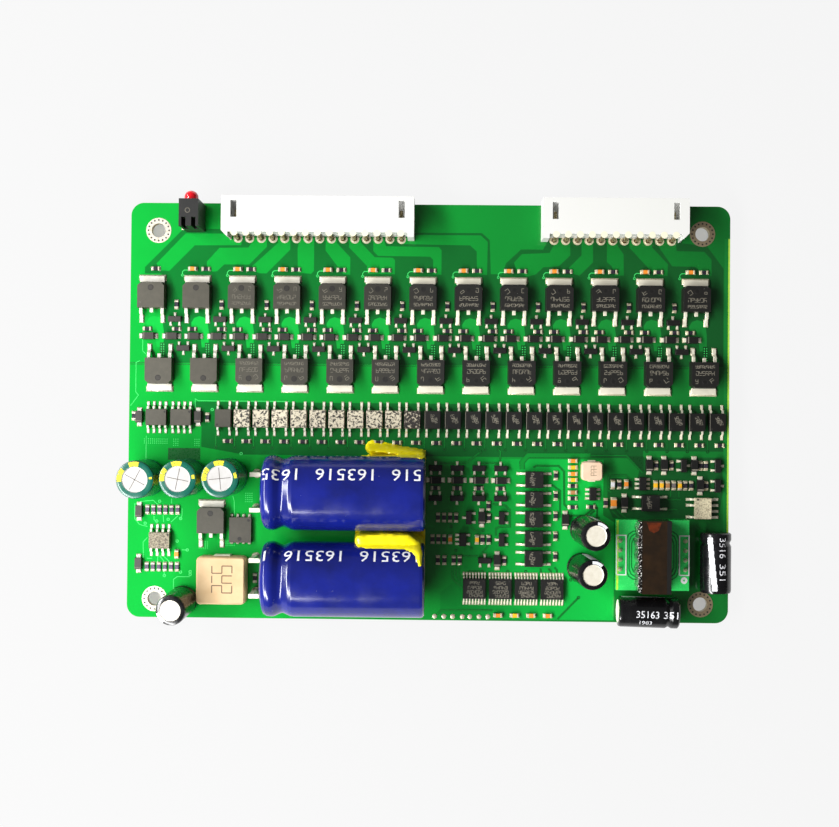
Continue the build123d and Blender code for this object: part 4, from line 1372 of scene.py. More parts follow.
def packages() -> list[Package]:
    """Return every kind of package with leads on two sides."""
    opto = ([-1.27, 1.27], [-1.27, 1.27], Lead(1.65, 0.9, 0.42))
    four = [-1.905, -0.635, 0.635, 1.905]
    eight = [(i - 3.5) * 0.65 for i in range(8)]
    scribble = [(4, 0.1, 0.35, 0.3, 0.75, -75), (3, 0.75, -0.1, 0.3, 0.6, -75)]
    faint = [(4, 0.35, 0.6, 0.4, 0.6, 170), (3, -0.5, 0.2, 0.4, 0.6, 170)]
    flux = [MOULDED_EPOXY] + [FLUX_FILM] * 9 + [FLUX_THIN, DARK_EPOXY]
    small = Lead(1.5, 0.75, 0.45)
    text = [(4, 0.0, 1.3, 0.4, 0.6, 180), (5, 0.0, 0.3, 0.45, 0.6, 180), (7, 0.0, -0.6, 0.36, 0.6, 180),
            (5, 0.3, -1.4, 0.45, 0.6, 180)]
    return [
        Package("opto_row", "optocoupler_row_bodies", "optocoupler_row_leads", 0, (3.6, 3.95, 2.0), *opto,
                flux, scribble, (-1.2, -1.4), 0.12, 11, True),
        Package("opto_column", "optocoupler_column_bodies", "optocoupler_column_leads", 90, (3.6, 3.95, 2.0),
                *opto, [DARK_EPOXY], faint, (1.2, -1.4)),
        Package("amplifier", "amplifier_bodies", "amplifier_leads", 0, (4.6, 3.6, 1.6), four, four, small,
                [MOULDED_EPOXY, SILVERED_FLUX, MOULDED_EPOXY], [], (1.9, 1.2)),
        Package("controller", "controller_body", "controller_leads", 90, (4.6, 3.6, 1.6), four,
                [-1.905, 0.635, 1.905], small, [PALE_FLUX], [], (1.9, 1.2)),
        Package("register", "register_bodies", "", 0, (4.95, 4.4, 1.1), eight, eight, Lead(1.15, 0.6, 0.3),
                [DARK_EPOXY], text, (2.0, 1.7)),
    ]


class Facing(Enum):
    """The side on which a three-lead package has its single lead, as a turn in degrees."""

    UP = 0
    LEFT = 90
    DOWN = 180
    RIGHT = -90


@dataclass
class Chips:
    """The small parts: chip resistors and capacitors, diodes, transistors, regulators, power stage.

    Attributes:
        pale_corner: left of this X and below this Y, resistors have a pale glaze.
        lead_right: right of this X, upright transistors have their single lead at the right.
        lead_down: the ranges in Y where flat-lying ones have it below.
        tints: the place of each chip capacitor that isn't orange, and its finish.
    """

    cap: float = 0.33
    fillet: float = 0.28
    leg: Triple = (0.42, 0.62, 0.22)
    leg_spread: float = 0.95
    diode_leg: Point = (0.95, 0.55)
    diode_band: Point = (0.3, 0.55)
    pad_pitch: float = 1.27
    pale_corner: Point = (-52.0, -15.0)
    lead_right: float = 25.0
    lead_down: tuple[Point, ...] = ((12.0, 16.0), (-19.0, -16.0))
    tints: dict[Point, int] = field(
        default_factory=lambda: {
            (31.4, -10.7): 3, (31.4, -13.4): 3, (31.4, -16.1): 4, (10.8, -26.5): 3, (40.0, -14.3): 5,
            (49.2, -14.4): 3, (50.5, -14.4): 3, (51.8, -14.4): 4, (53.1, -14.4): 6, (54.4, -14.4): 3,
            (15.5, -42.75): 2, (19.07, -42.75): 3,
        }
    )

    def chip(self, size: Vector, skin: int) -> Form:
        """Return one chip along X with its end caps and the solder at its ends.

        Args:
            size: its length, width and height.
            skin: the number of its body's finish.

        Returns:
            The chip.
        """
        x, y, z = size.x / 2, size.y / 2, size.z
        form = Form().block((-x + self.cap, x - self.cap), (-y * 0.96, y * 0.96), (0.05, z * 0.97), skin)
        for side in (-1, 1):
            ends = tuple(sorted((side * (x - self.cap), side * x)))
            form.block(ends, (-y, y), (0.03, z))
            reach = tuple(sorted((side * (x - 0.05), side * (x + self.fillet))))
            form.block(reach, (-y - 0.08, y + 0.08), (0.0, z * 0.45), 1, 0.1)
        return form

    def chips(self, bench: Bench, node: str, name: str, skins: list[Finish]) -> None:
        """Build every chip of a node.

        Args:
            bench: where pieces are made.
            node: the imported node.
            name: the name of the new piece.
            skins: the body finishes after the two metals.
        """
        form = Form()
        for solid in bench.solids(node):
            x, y = solid.centre.xy
            near = [k for spot, k in self.tints.items() if math.dist(spot, (x, y)) < 0.5]
            skin = near[0] if near and len(skins) > 2 else 2
            if len(skins) == 2 and x < self.pale_corner[0] and y < self.pale_corner[1]:
                skin = 3
            form.add(self.chip(solid.long_first, skin), solid.place(90 if solid.upright else 0))
        bench.piece(name, form, [TINNED_PAD, SOLDER, *skins], (node,), 0.04)

    def leg_form(self, width: float, reach: float, rise: float) -> Form:
        """Return one short lead along +Y as finish 0 with its solder as finish 1."""
        half, side = width / 2, width / 2 + 0.1
        form = Form().block((-half, half), (-0.05, reach), (0.02, rise), 0, 0.03)
        return form.block((-side, side), (reach * 0.4, reach + 0.22), (0, 0.12), 1, 0.05)

    def facing(self, solid: Solid) -> Facing:
        """Return the side of a transistor's single lead, from its place in the layout.

        Args:
            solid: the transistor's case.

        Returns:
            The side.
        """
        x, y = solid.centre.xy
        if solid.upright:
            return Facing.LEFT if x < self.lead_right else Facing.RIGHT
        return Facing.DOWN if any(low < y < high for low, high in self.lead_down) else Facing.UP

    def moulded(self, size: Vector) -> Form:
        """Return one small moulded case."""
        x, y = size.x / 2, size.y / 2
        return Form().prism([(-x, -y), (x, -y), (x, y), (-x, y)], 0.08, size.z, 0, 0.08)

    def three_leads(self, bench: Bench) -> None:
        """Build the transistors.

        Args:
            bench: where pieces are made.
        """
        leg = self.leg_form(*self.leg)
        cases, legs = Form(), Form()
        for solid in bench.solids("transistor_bodies"):
            size, spot = solid.long_first, solid.place(self.facing(solid).value)
            cases.add(self.moulded(size), spot)
            legs.add(leg, spot @ at(0, size.y / 2))
            for side in (-1, 1):
                legs.add(leg, spot @ at(side * self.leg_spread, -size.y / 2, 0, 180))
        bench.piece("transistor_cases", cases, [DARK_EPOXY], ("transistor_bodies",), 0.04)
        bench.piece("transistor_legs", legs, [TINNED_STRIP, SOLDER])

    def many_leads(self, bench: Bench) -> None:
        """Build the regulators; the first has no middle lead at its lower side.

        Args:
            bench: where pieces are made.
        """
        leg = self.leg_form(*self.leg)
        cases, legs = Form(), Form()
        for i, solid in enumerate(bench.solids("regulator_bodies")):
            size, spot = Vector((solid.size.y, solid.size.x, solid.size.z)), solid.place(90)
            cases.add(self.moulded(size), spot)
            for x in (-self.leg_spread, 0, self.leg_spread):
                legs.add(leg, spot @ at(x, size.y / 2))
                if x or i:
                    legs.add(leg, spot @ at(x, -size.y / 2, 0, 180))
        bench.piece("regulator_cases", cases, [DARK_EPOXY], ("regulator_bodies",), 0.04)
        bench.piece("regulator_legs", legs, [TINNED_STRIP, SOLDER])

    def power_stage(self, bench: Bench) -> None:
        """Build the flat power package with four pads at each end.

        Args:
            bench: where pieces are made.
        """
        solid = bench.solids("power_stage_body")[0]
        x, y, h = solid.size.x / 2, solid.size.y / 2, solid.size.z
        case = Form().block((-x, x), (-y, y), (0.1, h), 0, 0.03)
        # Two discs of painted shade where the case has dimples.
        case.disc(-0.1, -1.9, h + PRINT_FILM, 0.45, 1).disc(1.8, 2.1, h + PRINT_FILM, 0.3, 1)
        pads = Form()
        for i in range(4):
            mid = (i - 1.5) * self.pad_pitch
            pads.block((mid - 0.32, mid + 0.32), (-y - 0.35, -y + 0.3), (0, 0.3), 0, 0.05)
            pads.block((mid - 0.32, mid + 0.32), (y - 0.3, y + 0.75), (0, 0.35), 0, 0.12)
        case, pads = (Form().add(form, solid.place()) for form in (case, pads))
        skins = [MOULDED_EPOXY, DIMPLE_SHADE]
        bench.piece("power_stage_case", case, skins, ("power_stage_body",), 0.05)
        bench.piece("power_stage_pads", pads, [SOLDER], (), 0.04)

    def diodes(self, bench: Bench) -> None:
        """Build the two-lead diodes with their cathode bands.

        Args:
            bench: where pieces are made.
        """
        leg = self.leg_form(*self.diode_leg, 0.3)
        cases, legs = Form(), Form()
        for solid in bench.solids("diode_bodies"):
            size, spot = solid.long_first, solid.place(90 if solid.upright else 0)
            cases.add(self.moulded(size), spot)
            end, half = size.x / 2, size.y / 2 - 0.1
            start, stop = (place - end for place in self.diode_band)
            levels = (size.z - PRINT_FILM, size.z + PRINT_FILM)
            cases.add(Form().block((start, stop), (-half, half), levels, 1), spot)
            legs.add(leg, spot @ at(end, 0, 0, -90)).add(leg, spot @ at(-end, 0, 0, 90))
        bench.piece("diode_cases", cases, [DARK_EPOXY, LASER_MARK], ("diode_bodies",), 0.04)
        bench.piece("diode_legs", legs, [TINNED_STRIP, SOLDER])

    def build(self, bench: Bench) -> None:
        """Build all the small parts.

        Args:
            bench: where pieces are made.
        """
        self.chips(bench, "chip_resistors", "resistor_chips", [RESISTOR_GLAZE, RESISTOR_PALE])
        tints = [CERAMIC_ORANGE, CERAMIC_YELLOW, CERAMIC_TAN, WHITE_PRINT, CERAMIC_GREY]
        self.chips(bench, "chip_capacitors", "capacitor_chips", tints)
        self.three_leads(bench)
        self.many_leads(bench)
        self.power_stage(bench)
        self.diodes(bench)


def sector(radii: Point, angles: Point, steps: int = 8) -> Outline:
    """Return the outline of a part of a flat ring.

    Args:
        radii: its inner and outer radius.
        angles: its first and last angle in degrees.
        steps: how many facets it has.

    Returns:
        Its corners, anticlockwise.
    """
    inner, outer = radii
    turns = [math.radians(angles[0] + (angles[1] - angles[0]) * i / steps) for i in range(steps + 1)]
    near = [(inner * math.cos(a), inner * math.sin(a)) for a in turns]
    far = [(outer * math.cos(a), outer * math.sin(a)) for a in turns]
    return far + near[::-1]


def patch(radius: float, heights: Point, angles: Point, finish: int = 0, steps: int = 8) -> Form:
    """Return a curved patch of print on a cylinder about Z.

    Args:
        radius: the radius of the print.
        heights: its lowest and highest Z.
        angles: its first and last angle in degrees.
        finish: the number of its finish.
        steps: how many facets it has.

    Returns:
        The patch, one face thick.
    """
    form = Form()
    for i in range(steps):
        a, b = (math.radians(angles[0] + (angles[1] - angles[0]) * k / steps) for k in (i, i + 1))
        low, high = heights
        spots = [(math.cos(a), math.sin(a), low), (math.cos(b), math.sin(b), low),
                 (math.cos(b), math.sin(b), high), (math.cos(a), math.sin(a), high)]
        form.face([(radius * c, radius * s, h) for c, s, h in spots], finish)
    return form


def radius_at(outline: Outline, z: float) -> float:
    """Return the radius of a turned form at a height.

    Args:
        outline: the radius and height of each ring, from the bottom up.
        z: the height.

    Returns:
        The radius there.
    """
    for (start, low), (end, high) in zip(outline, outline[1:]):
        if low < high and low <= z <= high:
            return start + (end - start) * (z - low) / (high - low)
    return outline[-1][0]


def wrapped(
    text: str, size: Point, spot: Point, signs: tuple[int, int], outline: Outline, keep: Point, finish: int
) -> Form:
    """Return plain digits wrapped round a form that is turned about Z.

    Args:
        text: the digits.
        size: the width and height of the whole text.
        spot: the height and the angle in degrees of its lower left corner.
        signs: how the height runs as one reads on, and the angle as one looks up the digits.
        outline: the radius and height of each ring of the form.
        keep: the lowest and the highest Z that takes print.
        finish: the number of its finish.

    Returns:
        The print, one face thick.
    """
    curve = bpy.data.curves.new("digits", "FONT")
    curve.body = text
    curve.resolution_u = 2
    source = bpy.data.objects.new("digits", curve)
    mesh = bpy.data.meshes.new_from_object(source)
    work = bmesh.new()
    work.from_mesh(mesh)
    low, high = ([pick(v.co[k] for v in work.verts) for k in (0, 1)] for pick in (min, max))
    for v in work.verts:
        v.co.x = (v.co.x - low[0]) / (high[0] - low[0]) * size[0]
        v.co.y = (v.co.y - low[1]) / (high[1] - low[1]) * size[1]
    ways = (Vector((1, 0, 0)), Vector((0, 1, 0)))
    for way, length, count in zip(ways, size, (14, 7)):
        for k in range(1, count):
            parts = work.verts[:] + work.edges[:] + work.faces[:]
            bmesh.ops.bisect_plane(work, geom=parts, plane_co=way * (length * k / count), plane_no=way)
    for limit, side in zip(sorted(signs[0] * (z - spot[0]) for z in keep), (-1, 1)):
        parts = work.verts[:] + work.edges[:] + work.faces[:]
        plane = {"plane_co": ways[0] * limit, "plane_no": ways[0] * side}
        bmesh.ops.bisect_plane(work, geom=parts, clear_outer=True, **plane)
    form = Form()
    widest = max(r for r, _ in outline)
    work.verts.index_update()
    for v in work.verts:
        z = spot[0] + signs[0] * v.co.x
        angle = math.radians(spot[1]) + signs[1] * v.co.y / widest
        reach = radius_at(outline, z) + 0.03
        form.points.append((reach * math.cos(angle), reach * math.sin(angle), z))
    form.faces = [tuple(v.index for v in f.verts) for f in work.faces]
    form.finishes = [finish] * len(form.faces)
    work.free()
    bpy.data.objects.remove(source)
    bpy.data.meshes.remove(mesh)
    return form


@dataclass
class StandingCans:
    """The standing electrolytic capacitors in green and in black sleeves.

    Attributes:
        green: radius, height and radius of the bare disc of a green can.
        black: the same of a black one.
        leaning: place of each black can, how far its top leans in X and Y, and its stripe's angle.
    """

    green: Triple = (4.0, 13.0, 2.55)
    black: Triple = (3.2, 11.8, 2.05)
    roll: float = 0.55
    print_low: float = 2.8
    leaning: tuple[tuple[float, ...], ...] = (
        (33.8, -24.0, 1.4, -0.6, 60.0), (33.2, -32.1, 1.4, -0.6, 70.0), (-52.6, -40.1, -0.6, -0.9, 215.0))
    stands: tuple[Point, ...] = ((-60.7, -13.8), (-51.8, -13.6), (-43.0, -13.4))

    def can(self, radius: float, height: float, disc: float) -> Form:
        """Return one sleeved can: crimp above the base, rolled top edge, aluminium disc.

        Args:
            radius: its radius.
            height: its height.
            disc: the radius of its bare disc.

        Returns:
            The can, with its disc as finish 1.
        """
        r, h, roll = radius, height, self.roll
        profile = [(r - 0.5, 0.0), (r - 0.05, 0.3), (r, 1.0), (r - 0.3, 1.7), (r, 2.4), (r, h - roll),
                   (r - roll * 0.3, h - roll * 0.3), (r - roll, h - 0.02), (disc + 0.15, h), (disc, h - 0.1)]
        bands = [0] * (len(profile) - 2) + [1]
        return Form().lathe(profile, 40, bands)

    def scores(self, height: float, disc: float, angle: float) -> Form:
        """Return the scored cross in the disc.

        Args:
            height: the height of the can.
            disc: the radius of the disc.
            angle: the turn of the cross in degrees.

        Returns:
            The two lines of painted shade, as finish 2.
        """
        form = Form()
        line = Form().prism(stroke([(-disc * 0.9, 0), (disc * 0.9, 0)], 0.13), height - 0.1, height - 0.08, 2)
        for turn in (0, 90):
            form.add(line, Matrix.Rotation(math.radians(angle + turn), 4, "Z"))
        return form

    def build(self, bench: Bench) -> None:
        """Build the six standing cans.

        Args:
            bench: where pieces are made.
        """
        radius, height, disc = self.green
        cans = Form()
        for i, (x, y) in enumerate(self.stands):
            one = self.can(radius, height, disc)
            one.add(self.scores(height, disc, 62 + 17 * i))
            for angles in ((76, 112), (140, 160), (162, 188)):
                one.prism(sector((2.75, 3.75), angles), height - 0.02, height, 3)
            one.prism(sector((3.0, 3.6), (2, 10 + 6 * i)), height - 0.02, height, 3)
            one.add(patch(radius + PRINT_FILM, (self.print_low, height - RIM_EDGE), (165, 215), 3))
            cans.add(one, at(x, y, BOARD_TOP))
        skins = [GREEN_SLEEVE, ALUMINIUM, SCORE_SHADE, YELLOW_PRINT]
        bench.piece("green_cans", cans, skins, ("standing_capacitors",))
        radius, height, disc = self.black
        dark = Form()
        for x, y, lean_x, lean_y, stripe in self.leaning:
            tilt = math.atan2(math.hypot(lean_x, lean_y), height)
            heading = math.atan2(lean_y, lean_x)
            lift = math.sin(tilt) * radius
            place = Matrix.Translation((x, y, BOARD_TOP + lift)) @ Matrix.Rotation(heading, 4, "Z")
            place = place @ Matrix.Rotation(tilt, 4, "Y") @ Matrix.Rotation(-heading, 4, "Z")
            one = self.can(radius, height, disc)
            span = (self.print_low, height - RIM_EDGE)
            one.add(patch(radius + PRINT_FILM, span, (stripe - 28, stripe + 28), 3))
            one.prism(sector((2.3, 2.95), (stripe - 24, stripe + 24)), height - 0.02, height, 3)
            dark.add(one, place)
        skins = [BLACK_SLEEVE, CREAM_ALUMINIUM, SCORE_SHADE, WHITE_PRINT]
        bench.piece("black_cans", dark, skins)


@dataclass
class LyingCans:
    """The two supercapacitors and the two small cans that lie on the board.

    Attributes:
        words: the height and the angle of the first word of digits on each supercapacitor.
        word: the width and height of a word.
        smalls: place in X and Y, heading and the angle of the white stripe of each small can.
    """

    radius: float = 7.9
    length: float = 34.9
    start: float = -35.3
    rows: Point = (-16.4, -34.5)
    pitch: float = 15.75
    words: tuple[Point, Point] = ((24.3, 138.0), (17.8, 126.5))
    word: Point = (12.0, 2.75)
    small: Point = (3.25, 12.9)
    smalls: tuple[tuple[float, ...], ...] = ((61.6, -37.1, 90.0, 148.0), (40.8, -41.15, -1.5, 80.0))
    lead: float = 0.45

    def outline(self) -> Outline:
        """Return the outline of a supercapacitor from its lead end: crimped groove and rolled ends."""
        r, n = self.radius, self.length
        return [(r - 3.4, 1.1), (r - 2.2, 0.8), (r - 1.3, 0.85), (r - 0.5, 1.25), (r - 0.1, 1.9), (r, 2.6),
                (r, 3.1), (r - 0.12, 3.6), (r - 0.6, 4.6), (r - 0.76, 5.1), (r - 0.68, 5.5), (r - 0.14, 6.75),
                (r, 7.5), (r, n - 0.9), (r - 0.12, n - 0.35), (r - 0.5, n - 0.03), (r - 1.1, n),
                (r - 1.25, n - 0.25)]

    def big(self, word: Point) -> Form:
        """Return one supercapacitor along +Z with its words of digits.

        Args:
            word: the height and the angle of its first whole word.

        Returns:
            The can and its print.
        """
        outline = self.outline()
        form = Form().lathe(outline, 72, [2] + [0] * (len(outline) - 3) + [1])
        for step in (-1, 0, 1):
            spot = (word[0] + step * self.pitch, word[1])
            if spot[0] - self.word[0] < self.length - 1:
                form.add(wrapped(DIGITS, self.word, spot, (-1, 1), outline, (1.2, self.length - 0.9), 3))
        return form

    def little_outline(self) -> Outline:
        """Return the outline of a small can from its closed end."""
        r, n = self.small
        return [(r - 0.9, 0.12), (r - 0.75, 0.0), (r - 0.15, 0.15), (r, 0.6), (r, n - 2.9),
                (r - 0.35, n - 2.2), (r, n - 1.5), (r, n - 0.3), (r - 0.3, n), (r - 0.8, n)]

    def little(self, stripe: float) -> Form:
        """Return one small can along +Z from its closed end, with its stripe of print.

        Args:
            stripe: the angle of the middle of its stripe in degrees.

        Returns:
            The can and its print.
        """
        r, n = self.small
        outline = self.little_outline()
        form = Form().lathe(outline, 40, [1] + [0] * (len(outline) - 2))
        for k in range(8):
            low = 0.7 + (n - 1.6) * k / 8
            middle = stripe + 18 - 2.6 * k
            span = (low, low + (n - 1.6) / 8)
            form.add(patch(r + PRINT_FILM, span, (middle - 10, middle + 10), 2, 4))
        return form

    def build(self, bench: Bench) -> None:
        """Build the four cans, the supercapacitors' leads and their eyelets.

        Args:
            bench: where pieces are made.
        """
        cans, roots, eyelets = Form(), Form(), Form()
        lying = Matrix.Rotation(math.pi / 2, 4, "Y")
        for y, word in zip(self.rows, self.words):
            cans.add(self.big(word), Matrix.Translation((self.start, y, BOARD_TOP + self.radius)) @ lying)
        root = Form().lathe([(self.lead, -0.3), (self.lead, 1.6)], 16)
        eyelet = Form().lathe([(1.0, 0.0), (0.95, 0.1), (0.6, 0.35), (0.5, 0.75)], 20)
        for solid in bench.solids("supercapacitor_leads"):
            y, height = solid.centre.y, solid.high.z - self.lead
            roots.add(root, Matrix.Translation((self.start, y, height)) @ lying)
            eyelets.add(eyelet, at(solid.low.x + self.lead, y, BOARD_TOP))
        skins = [BLUE_SLEEVE, ALUMINIUM, BLACK_NYLON, WHITE_PRINT]
        bench.piece("supercapacitors", cans, skins, ("lying_capacitors",))
        bench.piece("lead_roots", roots, [TINNED_STRIP])
        bench.piece("lead_eyelets", eyelets, [SOLDER])
        bench.dress("supercapacitor_leads", TINNED_STRIP)
        self.small_cans(bench)

    def small_cans(self, bench: Bench) -> None:
        """Build the two small cans with their rows of digits.

        Args:
            bench: where pieces are made.
        """
        small = Form()
        outline = self.little_outline()
        lying = Matrix.Rotation(math.pi / 2, 4, "Y")
        prints = (
            [("3516", (4.2, 1.4), (11.9, 183.0), (-1, 1)), ("351", (3.4, 1.4), (6.4, 183.0), (-1, 1))],
            [("35163", (4.8, 1.5), (3.6, 196.0), (1, -1)), ("351", (3.0, 1.5), (9.4, 196.0), (1, -1)),
             ("1903", (2.6, 1.0), (4.4, 226.0), (1, -1))],
        )
        for (x, y, heading, stripe), rows in zip(self.smalls, prints):
            one = self.little(stripe)
            for text, size, spot, signs in rows:
                one.add(wrapped(text, size, spot, signs, outline, (0.5, self.small[1] - 0.3), 2))
            small.add(one, at(x, y, BOARD_TOP + self.small[0], heading) @ lying)
        bench.piece("small_lying_cans", small, [BLACK_SLEEVE, CREAM_ALUMINIUM, WHITE_PRINT])


@dataclass
class Inductors:
    """The two pressed-powder inductors, with an engraved mark and folded terminals.

    Attributes:
        kinds: the name, finish, engraved glyph's size and broken edge of each.
        line: the width of an engraved stroke, as a share of the glyph's width.
    """

    kinds: tuple[tuple[str, Finish, Point, float], ...] = (
        ("large_inductor", IRON_POWDER, (1.55, 4.3), 0.35),
        ("small_inductor", PINK_POWDER, (0.55, 1.2), 0.25))
    cut: float = 0.5
    line: float = 0.15

    def build(self, bench: Bench) -> None:
        """Build both inductors.

        Args:
            bench: where pieces are made.
        """
        rng = random.Random(5)
        slot, c = "pressed_iron_powder", self.cut
        for name, finish, glyph, bevel in self.kinds:
            solid = bench.solids(name + "_core")[0]
            x, y, h = solid.size.x / 2, solid.size.y / 2, solid.size.z
            outline = [(-x + c, -y), (x - c, -y), (x, -y + c), (x, y - c), (x - c, y), (-x + c, y),
                       (-x, y - c), (-x, -y + c)]
            core = Form().add(Form().prism(outline, 0.0, h), solid.place())
            bench.piece(name + "_block", core, [finish], (name + "_core",), bevel)
            mark = Marking(line=glyph[0] * self.line).row(rng, 3, (0.3, 0), h, glyph, -90)
            bench.piece(name + "_mark", Form().add(mark, solid.place()), [ENGRAVED])
            bench.dress(name + "_terminals", TINNED_STRIP)


@dataclass
class Transformer:
    """The planar transformer: winding board, core halves, tape, print and soldered pins.

    Attributes:
        arc: the outermost copper arc: where it begins, how far it reaches and half its height.
        frame: a printed frame: its outer edge, its width and half its height.
        bulges: how far the crumpled tape stands out, from one fold to the next.
        light: the amber patch at the tape's end: its corners from the tape's far left corner.
    """

    centre: Point = (48.2, -29.2)
    board_top: float = 5.0
    pin_x: float = 6.95
    pin_pitch: float = 2.04
    arc: Triple = (3.1, 5.5, 5.2)
    arc_line: Point = (0.5, 0.26)
    joint: tuple[Point, ...] = ((0.5, 0.0), (0.45, 0.2), (0.3, 0.4), (0.2, 0.7))
    frame: Triple = (7.7, 2.0, 4.2)
    pin_mark: Point = (6.7, -5.3)
    pale_edge: Triple = (-7.74, -7.3, 7.4)
    bulges: tuple[float, ...] = (0.5, 0.9, 0.7, 1.05, 0.65, 1.0, 0.75, 1.1, 0.65, 0.95, 0.5)
    light: tuple[Point, ...] = ((0.9, -0.3), (1.4, -2.0), (2.4, -2.5), (3.4, -1.9), (4.0, -0.3))

    def build(self, bench: Bench) -> None:
        """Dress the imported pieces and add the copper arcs, the print and the solder.

        Args:
            bench: where pieces are made.
        """
        bench.dress("transformer_board", WINDING_MASK)
        bench.dress("transformer_core", FERRITE)
        bench.dress("transformer_tape", POLYIMIDE)
        bench.dress("transformer_pins", TINNED_BRASS)
        x, y = self.centre
        z = self.board_top + 0.02
        arcs, joints, print_lines, edge = Form(), Form(), Form(), Form()
        joint = Form().lathe(list(self.joint), 12)
        start, reach, rise = self.arc
        step, line = self.arc_line
        for side in (-1, 1):
            for k in range(3):
                far, h = reach - step * k, rise - step * k
                bend = [(start, h), (far - 1.3, h - 0.1), (far - 0.4, h - 0.7), (far, h - 1.7)]
                bend += [(a, -b) for a, b in reversed(bend)]
                path = [(x + side * a, y + b) for a, b in bend]
                arcs.prism(stroke(path if side < 0 else path[::-1], line), z - 0.02, z)
            for i in range(4):
                joints.add(joint, at(x + side * self.pin_x, y + (i - 1.5) * self.pin_pitch, self.board_top))
        out, width, half = self.frame
        for a, b in ((x - out, x - out + width), (x + out - width, x + out)):
            loop = [(a, y - half), (b, y - half), (b, y + half), (a, y + half), (a, y - half)]
            print_lines.prism(stroke(loop, 0.24), z - PRINT_FILM, z + PRINT_FILM)
        print_lines.ring(x + self.pin_mark[0], y + self.pin_mark[1], z + PRINT_FILM, (0.22, 0.72))
        low, high, half = self.pale_edge
        edge.block((x + low, x + high), (y - half, y + half), (z - 0.02, z))
        bench.piece("winding_copper", arcs, [WINDING_SHADE])
        bench.piece("winding_edge", edge, [WINDING_EDGE])
        bench.piece("winding_print", print_lines, [SILK_PRINT])
        bench.piece("transformer_joints", joints, [SOLDER])
        self.tape(bench)

    def tape(self, bench: Bench) -> None:
        """Add the crumpled tape at the core's left side, the amber light at its far end and a strip of
        painted shade along its right edge.

        Args:
            bench: where pieces are made.
        """
        solid = bench.solids("transformer_tape")[0]
        low, high = solid.low, solid.high
        flap, glow = Form(), Form()
        step = (high.y - low.y - 0.4) / (len(self.bulges) - 1)
        inner = low.x + 0.02
        for i, (out, next_out) in enumerate(zip(self.bulges, self.bulges[1:])):
            a, b = low.y + 0.2 + step * i, low.y + 0.2 + step * (i + 1)
            fold = [(low.x - out, a), (inner, a), (inner, b), (low.x - next_out, b)]
            flap.prism(fold, self.board_top + 0.05, high.z - 0.2)
        bench.piece("crumpled_flap", flap, [CRUMPLED_TAPE], (), 0.12)
        z = high.z + 0.015
        glow.prism([(low.x + a, high.y + b) for a, b in self.light], z - 0.02, z)
        # Painted shade: a dark strip on the tape's rounded right shoulder.
        glow.block((high.x - 0.95, high.x - 0.05), (low.y + 0.05, high.y - 0.05), (z - 0.02, z), 1)
        bench.piece("tape_lights", glow, [AMBER_TAPE, DARK_EPOXY])


